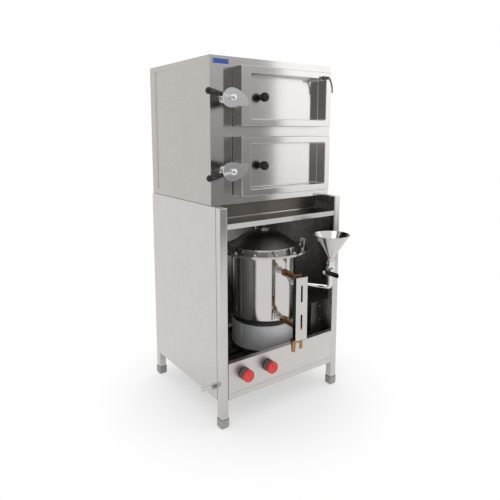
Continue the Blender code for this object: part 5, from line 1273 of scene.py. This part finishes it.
@dataclass
class Casing:
    """The steaming box: outer shell, front sheet, chambers, trays and blank plate."""

    half_width: float = 0.300
    recess: float = 0.004
    stud: float = 0.0087
    stud_sunk: float = 0.0004
    stud_foot: float = 0.0182
    stud_foot_height: float = 0.003
    stud_waist: tuple[float, float] = (0.0115, 0.0062)
    stud_neck: tuple[float, float] = (0.0088, 0.0122)
    stud_pin: float = 0.0047
    pin: float = 0.0101
    dimple: float = 0.0042
    dimple_rows: tuple[float, ...] = (1.325, 1.259, 1.013, 0.952)
    dimple_start: float = -0.128
    dimple_pitch: float = 0.060
    dimples: int = 6
    plate_left: float = -0.287
    plate_right: float = -0.219
    plate_low: float = 1.377
    plate_high: float = 1.394
    plate_sheet: float = 0.0009
    tray_left: float = -0.1785
    tray_right: float = 0.2175
    tray_near: float = -0.1992
    tray_far: float = 0.2338
    tray_lip: float = 0.006
    tray_sheet: float = 0.0012
    cup: float = 0.0405
    cup_depth: float = 0.013
    levels: tuple[tuple[str, float], ...] = (
        ("upper_bottom", 1.259), ("upper_top", 1.325), ("lower_bottom", 0.952),
        ("lower_top", 1.013),
    )

    def shell(self) -> None:
        """The folded outer shell and the rows of pressed dimples in its sides."""
        Form().node("box_shell", 0.0005).make("casing_shell", CASING, ["box_shell"])
        form = Form()
        face = self.half_width - self.recess
        outline = [
            (0.0, 0.0007), (self.dimple * 0.45, 0.0005), (self.dimple * 0.6, 0.0009),
            (self.dimple * 0.85, 0.0006), (self.dimple, -0.0002), (0.0, -0.0002),
        ]
        for sign in (-1, 1):
            for height in self.dimple_rows:
                for index in range(self.dimples):
                    spot = (sign * face, self.dimple_start + index * self.dimple_pitch, height)
                    form.lathe(outline, spot, RIGHT * sign, 16)
        form.make("casing_dimples", CASING, slot="box_shell")

    def front_sheet(self) -> None:
        """The front sheet with both openings and the two turned latch studs."""
        form = Form().node("front_frame", 0.0004)
        back = FRONT - CAM_BACK - SEAT
        for height in STUDS.values():
            form.lathe(
                [
                    (0.0, -self.stud_sunk), (self.stud_foot, -self.stud_sunk),
                    (self.stud_foot, self.stud_foot_height), self.stud_waist, self.stud_neck,
                    (self.stud, back), (self.stud_pin, back), (self.stud_pin, back + self.pin),
                    (0.0, back + self.pin),
                ],
                (STUD_X, FRONT, height), AHEAD, 48, edge=0.0005,
            )
        form.make("casing_front", FACING, ["front_frame"])
        plate = Form().block(
            (self.plate_left, FRONT - self.plate_sheet, self.plate_low),
            (self.plate_right, FRONT + SEAT, self.plate_high), 0.0004,
        )
        plate.make("blank_plate", ENAMEL, slot="front_frame")
        pins = Form()
        middle = (self.plate_low + self.plate_high) / 2
        for x in (self.plate_left + 0.0035, self.plate_right - 0.0035):
            pins.lathe([(0.0, 0.0), *arc((0.0, 0.0), (0.0014, 0.0007), 0.0, 90.0, 4)],
                       (x, FRONT - self.plate_sheet + 0.0001, middle), AHEAD, 16)
        pins.make("blank_plate_pins", CHROME, slot="front_frame")

    def tray(self, name: str, level: float) -> None:
        """One pressed tray with twelve dished cups and a turned-down edge.

        Args:
            name: Which tray it is.
            level: The height of the runners that it lies on.
        """
        top = level + SEAT + self.tray_lip
        mesh = bmesh.new()
        corners = [
            mesh.verts.new((x, y, top)) for x, y in (
                (self.tray_left, self.tray_near), (self.tray_right, self.tray_near),
                (self.tray_right, self.tray_far), (self.tray_left, self.tray_far),
            )
        ]
        border = [mesh.edges.new((corners[i], corners[i - 1])) for i in range(4)]
        rims = []
        wide = (self.tray_right - self.tray_left) / 3
        deep = (self.tray_far - self.tray_near) / 4
        for column in range(3):
            for row in range(4):
                x = self.tray_left + wide * (column + 0.5)
                y = self.tray_near + deep * (row + 0.5)
                made = bmesh.ops.create_circle(
                    mesh, segments=28, radius=self.cup,
                    matrix=Matrix.Translation((x, y, top)),
                )
                ring = list({edge for vert in made["verts"] for edge in vert.link_edges})
                rims.append((Vector((x, y, top)), ring))
        edges = border + [edge for _, ring in rims for edge in ring]
        bmesh.ops.triangle_fill(mesh, use_beauty=True, use_dissolve=False, edges=edges)
        for centre, ring in rims:
            for angle_deg in (18.0, 36.0, 54.0, 72.0, 84.0):
                share = math.cos(math.radians(angle_deg))
                grown = bmesh.ops.extrude_edge_only(mesh, edges=ring)["geom"]
                verts, ring = only(grown, bmesh.types.BMVert), only(grown, bmesh.types.BMEdge)
                depth = self.cup_depth * math.sin(math.radians(angle_deg))
                for vert in verts:
                    out = Vector((vert.co.x - centre.x, vert.co.y - centre.y, 0.0)).normalized()
                    vert.co = centre + out * (self.cup * share) - Vector((0.0, 0.0, depth))
            bmesh.ops.edgeloop_fill(mesh, edges=ring)
        grown = bmesh.ops.extrude_edge_only(mesh, edges=border)["geom"]
        bmesh.ops.translate(mesh, verts=only(grown, bmesh.types.BMVert),
                            vec=UP * -self.tray_lip)
        bmesh.ops.recalc_face_normals(mesh, faces=mesh.faces)
        highest = max(mesh.faces, key=lambda face: face.calc_center_median().z)
        if highest.normal.z < 0.0:
            bmesh.ops.reverse_faces(mesh, faces=mesh.faces)
        piece = Form().take(mesh).make(
            f"idli_tray_{name}_pressing", PRESSED, [f"idli_tray_{name}"])
        wall = piece.modifiers.new("sheet", "SOLIDIFY")
        wall.thickness = self.tray_sheet
        wall.offset = -1.0

    def build(self) -> None:
        """Makes the whole box but its doors."""
        self.shell()
        self.front_sheet()
        for name in ("upper_chamber", "lower_chamber"):
            dress(name, "lining", MILL)
        for name, level in self.levels:
            self.tray(name, level)


@dataclass
class Door:
    """A hollow door with a deep pressed recess, its seal, knob and hinge."""

    name: str
    low: float
    high: float
    left: float = -0.2035
    right: float = 0.2425
    front: float = -0.2775
    back: float = -0.221
    recess_left: float = -0.1625
    recess_right: float = 0.2155
    recess_edge: float = 0.037
    recess_depth: float = 0.048
    recess_corner: float = 0.006
    press: float = 0.0022
    lap: float = 0.001
    hinge: tuple[float, float] = (0.2525, -0.2225)
    barrel: float = 0.006
    pin_bore: float = 0.0034
    knuckle_half: float = 0.0244
    leaf: float = 0.026
    neck: float = 0.006
    knob_x: float = -0.0845
    knob: float = 0.0185
    knob_reach: float = 0.0455
    flutes: int = 10
    flute_depth: float = 0.0016
    flute_end: float = 0.004

    def panel(self) -> None:
        """The door pan, pressed in front, with its hinge knuckle."""
        part = cuboid((self.left, self.front, self.low), (self.right, self.back, self.high))
        mouth = min(part.faces, key=lambda face: face.calc_center_median().y)
        middle = mouth.calc_center_median()
        bmesh.ops.inset_individual(part, faces=[mouth], thickness=self.recess_edge)
        for vert in mouth.verts:
            vert.co.x = self.recess_left if vert.co.x < middle.x else self.recess_right
        floor = pushed(part, mouth)
        if mouth.is_valid:
            bmesh.ops.delete(part, geom=[mouth], context="FACES_ONLY")
        bmesh.ops.translate(part, verts=floor.verts, vec=(0.0, self.recess_depth, 0.0))
        border = floor.edges[:]
        uprights = [edge for vert in floor.verts for edge in vert.link_edges if edge not in border]
        bmesh.ops.bevel(part, geom=uprights, offset=self.recess_corner, segments=4, profile=0.5,
                        affect="EDGES", material=-1)
        ease(part, self.press, 4)
        bmesh.ops.recalc_face_normals(part, faces=part.faces)
        centre, half = (self.low + self.high) / 2, self.knuckle_half
        x, y = self.hinge
        Form().take(part).block(
            (self.right - self.lap, y - self.leaf, centre - half),
            (x - self.barrel + self.lap, y, centre + half), 0.0006,
        ).lathe(
            tube(self.pin_bore, self.barrel, -half, half), (x, y, centre), steps=FINE, closed=True,
            edge=0.0004,
        ).make(f"{self.name}_door_pan", FACING, [f"{self.name}_door"], f"{self.name}_door")

    def pull(self) -> None:
        """The fluted pull knob on its neck."""
        reach, r = self.knob_reach, self.knob
        middle = reach - r
        first = math.degrees(math.asin(self.neck / r))
        ball = [
            (r * math.sin(math.radians(a)), middle - r * math.cos(math.radians(a)))
            for a in [first + (180.0 - first) * step / 24 for step in range(25)]
        ]
        seat = self.front + self.recess_depth - SEAT
        centre = Vector((self.knob_x, seat, (self.low + self.high) / 2))
        form = Form().lathe(
            [
                (0.0, 0.0), (0.011, 0.0), (0.011, 0.0012), (0.0072, 0.0042), (self.neck, 0.0060),
                *ball[:-1], (0.0, reach),
            ],
            centre, AHEAD, self.flutes * 10,
        )
        form.flute(centre, self.flutes, self.flute_depth, self.flute_end, middle - r / 2, r)
        form.make(f"{self.name}_pull_knob", PHENOLIC, [f"{self.name}_door_knob"],
                  f"{self.name}_door", crease_deg=60.0)

    def build(self) -> None:
        """Makes the door with its seal, knob and hinge."""
        self.panel()
        self.pull()
        dress(f"{self.name}_door_seal", "strip", SILICONE, 0.0008, body=f"{self.name}_door")
        dress(f"{self.name}_hinge", "leaf", MILL)


@dataclass
class Latch:
    """A cam latch: plated cam with its hub and rod, and a black tapered grip."""

    name: str
    sign: int
    hub: float = 0.0125
    hub_height: float = 0.013
    cam: float = 0.003
    rod: float = 0.0045
    rod_length: float = 0.050
    socket: float = 0.0083
    tilt_deg: float = 10.0
    grip_length: float = 0.066
    grip_small: float = 0.008
    grip_large: float = 0.0125

    def build(self) -> None:
        """Makes the cam and the grip."""
        tilt = math.radians(self.tilt_deg)
        aim = Vector((-math.cos(tilt), 0.0, self.sign * math.sin(tilt)))
        pivot = Vector((STUD_X, CAM_BACK, STUDS[self.name]))
        crown = self.hub_height + self.cam
        form = Form().node(f"{self.name}_latch_cam", 0.0007, 2, 40.0)
        form.lathe(
            [
                (0.0, self.cam), (self.hub + 0.0002, self.cam),
                (self.hub + 0.0002, crown - 0.0055),
                *arc((0.0, crown - 0.0055), (self.hub, 0.0056), 10.0, 90.0, 8),
            ],
            pivot, AHEAD, 48, edge=0.0006,
        )
        form.make(f"{self.name}_latch_plate", CHROME, [f"{self.name}_latch_cam"],
                  f"{self.name}_latch")
        start = pivot + Vector((0.0, -self.cam - self.rod + 0.0006, 0.0)) + aim * self.rod_length
        small, large, length = self.grip_small, self.grip_large, self.grip_length
        Form().lathe(
            [
                (self.rod + SEAT, 0.0), (small, 0.0), (small + 0.0012, 0.0035), (small, 0.0065),
                (small + 0.0002, 0.010), (small + (large - small) * 0.55, length * 0.42),
                (large - 0.0008, length - large * 1.15),
                *arc((0.0, length - large), (large, large), 0.0, 90.0, 14),
                (0.0, self.socket), (self.rod + SEAT, self.socket),
            ],
            start, aim, 64, closed=True,
        ).make(f"{self.name}_latch_handle", PHENOLIC, [f"{self.name}_latch_grip"],
               f"{self.name}_latch", crease_deg=50.0)


@dataclass
class VentCock:
    """The small vent cock at the upper door's corner, with its curved lever."""

    x: float = 0.2065
    z: float = 1.347
    seat: float = -0.2778
    nut: float = 0.009
    nut_height: float = 0.004
    body: float = 0.006
    body_height: float = 0.016
    outlet: float = 0.0072
    outlet_height: float = 0.0088
    outlet_length: float = 0.019
    stem: float = 0.003
    stem_reach: tuple[float, float] = (0.0154, 0.022)

    def build(self) -> None:
        """Makes the cock and its lever."""
        foot = Vector((self.x, self.seat, self.z))
        # The cock and its lever are darkened with painted shade.
        Form().bars(
            foot, AHEAD, (0.0, self.nut_height, self.nut, HEX, 0.0005),
            (0.0, self.body_height, self.body, ROUND, 0.0005),
            (*self.stem_reach, self.stem, THIN, 0.0004),
        ).bars(
            foot + AHEAD * self.outlet_height, -RIGHT,
            (0.0, self.outlet_length, self.outlet, ROUND, 0.0006),
        ).make("vent_cock_body", PAINTED_SHADE_STEEL, ["vent_cock"], "upper_door")
        Form().node("vent_cock_lever", 0.0006).make(
            "vent_lever", PAINTED_SHADE_STEEL, ["vent_cock_lever"], "vent_tap")


class Studio:
    """The pale floor, the soft lamps and grey cards, and the camera."""

    camera_place = Vector((-1.2044, -1.6885, 1.1335))
    yaw = -0.62553
    pitch = -0.14495
    focal_px = 489.15
    centre_px = 203.0
    frame_px = 500.0
    floor_half = 9.0
    # Where the floor starts to fade from the object's shadow into white, and where it is white.
    fade_start = 0.30
    fade_end = 0.72
    fade_least = 0.50
    surround = 0.92
    card_reach = 3.05
    card_top = 2.4
    card_middle = 0.2
    card_steps = 24
    cards_meet_deg = -22.0

    def set_up(self, name: str, mesh: bmesh.types.BMesh) -> bpy.types.Object:
        """Turns a mesh into a stage piece with an empty material of its own.

        Args:
            name: The stage piece's name.
            mesh: Its mesh, which is freed.

        Returns:
            The new object.
        """
        data = bpy.data.meshes.new(name)
        mesh.to_mesh(data)
        mesh.free()
        made = show(name, data)
        matter = bpy.data.materials.new(f"{name}_matter")
        matter.use_nodes = True
        matter.node_tree.nodes.clear()
        data.materials.append(matter)
        return made

    def sight(self, tree: bpy.types.NodeTree) -> bpy.types.NodeSocket:
        """One for what the camera, metal and glass see, and nought for what lights the rest.

        Args:
            tree: The node tree that asks.

        Returns:
            The socket.
        """
        rays = add_node(tree, "LightPath")
        seen = rays.outputs["Is Camera Ray"]
        for kind in ("Is Glossy Ray", "Is Transmission Ray"):
            most = add_node(tree, "Math", {"operation": "MAXIMUM"},
                            {0: seen, 1: rays.outputs[kind]})
            seen = most.outputs["Value"]
        return seen

    def floor(self) -> None:
        """A white floor that keeps the object's shadow and fades into the background."""
        mesh = bmesh.new()
        bmesh.ops.create_grid(mesh, x_segments=1, y_segments=1, size=self.floor_half)
        floor = self.set_up("studio_floor", mesh)
        tree = floor.data.materials[0].node_tree
        place = add_node(tree, "TexCoord")
        reach = add_node(tree, "VectorMath", {"operation": "LENGTH"},
                         {0: place.outputs["Object"]})
        fade = add_node(
            tree, "MapRange",
            {"interpolation_type": "SMOOTHSTEP", "From Min": self.fade_start,
             "From Max": self.fade_end, "To Min": self.fade_least},
            {"Value": reach.outputs["Value"]},
        )
        share = add_node(tree, "Math", {"operation": "MULTIPLY"},
                         {0: fade.outputs["Result"], 1: self.sight(tree)})
        matt = add_node(tree, "BsdfDiffuse", {"Color": linear("#f6f6f6")})
        white = add_node(tree, "Emission", {"Strength": 1.0})
        mix = add_node(tree, "MixShader", {},
                       {0: share.outputs["Value"], 1: matt.outputs["BSDF"],
                        2: white.outputs["Emission"]})
        add_node(tree, "OutputMaterial", {}, {"Surface": mix.outputs["Shader"]})

    def world(self) -> None:
        """A white surrounding that the camera and the metal see, and softer for matt surfaces."""
        world = bpy.data.worlds.new("studio_surround")
        bpy.context.scene.world = world
        world.use_nodes = True
        tree = world.node_tree
        tree.nodes.clear()
        soft = add_node(tree, "Background", {"Strength": self.surround})
        white = add_node(tree, "Background", {"Color": (1.0, 1.0, 1.0, 1.0),
                                                        "Strength": 1.0})
        mix = add_node(tree, "MixShader", {},
                       {0: self.sight(tree), 1: soft.outputs["Background"],
                        2: white.outputs["Background"]})
        soft.inputs["Color"].default_value = (1.0, 1.0, 1.0, 1.0)
        add_node(tree, "OutputWorld", {}, {"Surface": mix.outputs["Shader"]})

    def card(self, name: str, start_deg: float, end_deg: float, foot: float, low: float,
             low_shade: float, high_shade: float) -> None:
        """A bowed grey card that the metal reflects, out of the camera's sight.

        Args:
            name: The card's name.
            start_deg: Where it starts, from straight ahead towards the right.
            end_deg: Where it ends.
            foot: Its lower edge.
            low: The height up to which it keeps its lower shade.
            low_shade: Its brightness below.
            high_shade: Its brightness above.
        """
        mesh = bmesh.new()
        ends = [mesh.verts.new((0.0, -self.card_reach, height))
                for height in (foot, self.card_top)]
        side = mesh.edges.new(ends)
        bmesh.ops.rotate(mesh, verts=ends, cent=(0.0, 0.0, 0.0),
                         matrix=Matrix.Rotation(math.radians(start_deg), 3, "Z"))
        bmesh.ops.spin(
            mesh, geom=[*ends, side], cent=(0.0, 0.0, 0.0), axis=(0.0, 0.0, 1.0),
            angle=math.radians(end_deg - start_deg), steps=self.card_steps,
        )
        card = self.set_up(name, mesh)
        card.location = AHEAD * self.card_middle
        tree = card.data.materials[0].node_tree
        spot = add_node(tree, "TexCoord")
        parts = add_node(tree, "SeparateXYZ", {}, {0: spot.outputs["Object"]})
        shade = add_node(
            tree, "MapRange",
            {"From Min": low, "From Max": self.card_top, "To Min": low_shade,
             "To Max": high_shade},
            {"Value": parts.outputs["Z"]},
        )
        glow = add_node(tree, "Emission", {}, {"Strength": shade.outputs["Result"]})
        add_node(tree, "OutputMaterial", {}, {"Surface": glow.outputs["Emission"]})
        card.visible_camera = False
        card.visible_transmission = False
        card.visible_diffuse = False
        card.visible_shadow = False

    def lamp(self, name: str, place: Point, target: Point, size: tuple[float, float],
             radiance: float) -> None:
        """A soft rectangular lamp.

        Args:
            name: The lamp's name.
            place: Where it hangs.
            target: The point that it faces.
            size: Its width and height.
            radiance: How bright its face is.
        """
        data = bpy.data.lights.new(name, "AREA")
        data.shape = "RECTANGLE"
        data.size, data.size_y = size
        data.energy = radiance * math.pi * size[0] * size[1]
        lamp = show(name, data)
        lamp.location = place
        aim = Vector(target) - Vector(place)
        lamp.rotation_euler = aim.to_track_quat("-Z", "Y").to_euler()
        lamp.visible_camera = False

    def camera(self) -> None:
        """The photograph's view point and framing."""
        data = bpy.data.cameras.new("camera")
        data.sensor_width = 36.0
        data.lens = self.focal_px * data.sensor_width / self.frame_px
        data.shift_y = (self.centre_px - self.frame_px / 2) / self.frame_px
        data.clip_start, data.clip_end = 0.05, 100.0
        camera = show("camera", data)
        ahead = Vector((
            -math.sin(self.yaw) * math.cos(self.pitch), math.cos(self.yaw) * math.cos(self.pitch),
            math.sin(self.pitch),
        ))
        camera.rotation_euler = ahead.to_track_quat("-Z", "Y").to_euler()
        camera.location = self.camera_place
        bpy.context.scene.camera = camera

    def build(self) -> None:
        """Makes the floor, the surround, the lamps, the cards and the camera."""
        self.floor()
        self.world()
        self.camera()
        self.lamp("front_right_softbox", place=(2.194, -2.101, 1.45), target=(0.0, -0.2, 1.45),
                  size=(1.0, 2.3), radiance=1.12)
        self.lamp("high_left_softbox", place=(-2.2, -1.2, 3.4), target=(0.0, 0.0, 0.7),
                  size=(1.6, 1.6), radiance=1.2)
        self.card("front_card", start_deg=self.cards_meet_deg, end_deg=62.0, foot=0.0,
                  low=0.2, low_shade=0.20, high_shade=0.90)
        self.card("camera_card", start_deg=-66.0, end_deg=self.cards_meet_deg, foot=0.45,
                  low=0.5, low_shade=0.32, high_shade=0.32)
        scene = bpy.context.scene
        scene.view_settings.view_transform = "Standard"


def corners(box: tuple[Vector, Vector]) -> list[list[float]]:
    """A box's two corners as plain lists."""
    return [[round(float(value), 6) for value in corner] for corner in box]


def main() -> None:
    """Builds every sub-assembly and the studio."""
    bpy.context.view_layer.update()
    Studio().build()
    for group in (
        Stand(), Boiler(), GasControls(), Gauge(), Filler(), SteamPipe(), Casing(),
        Door("upper", 1.1535, 1.3705), Door("lower", 0.8930, 1.1150),
        Latch("upper", 1), Latch("lower", -1), VentCock(),
    ):
        group.build()
        log.info("%s is done", type(group).__name__)


if __name__ == "__main__":
    main()
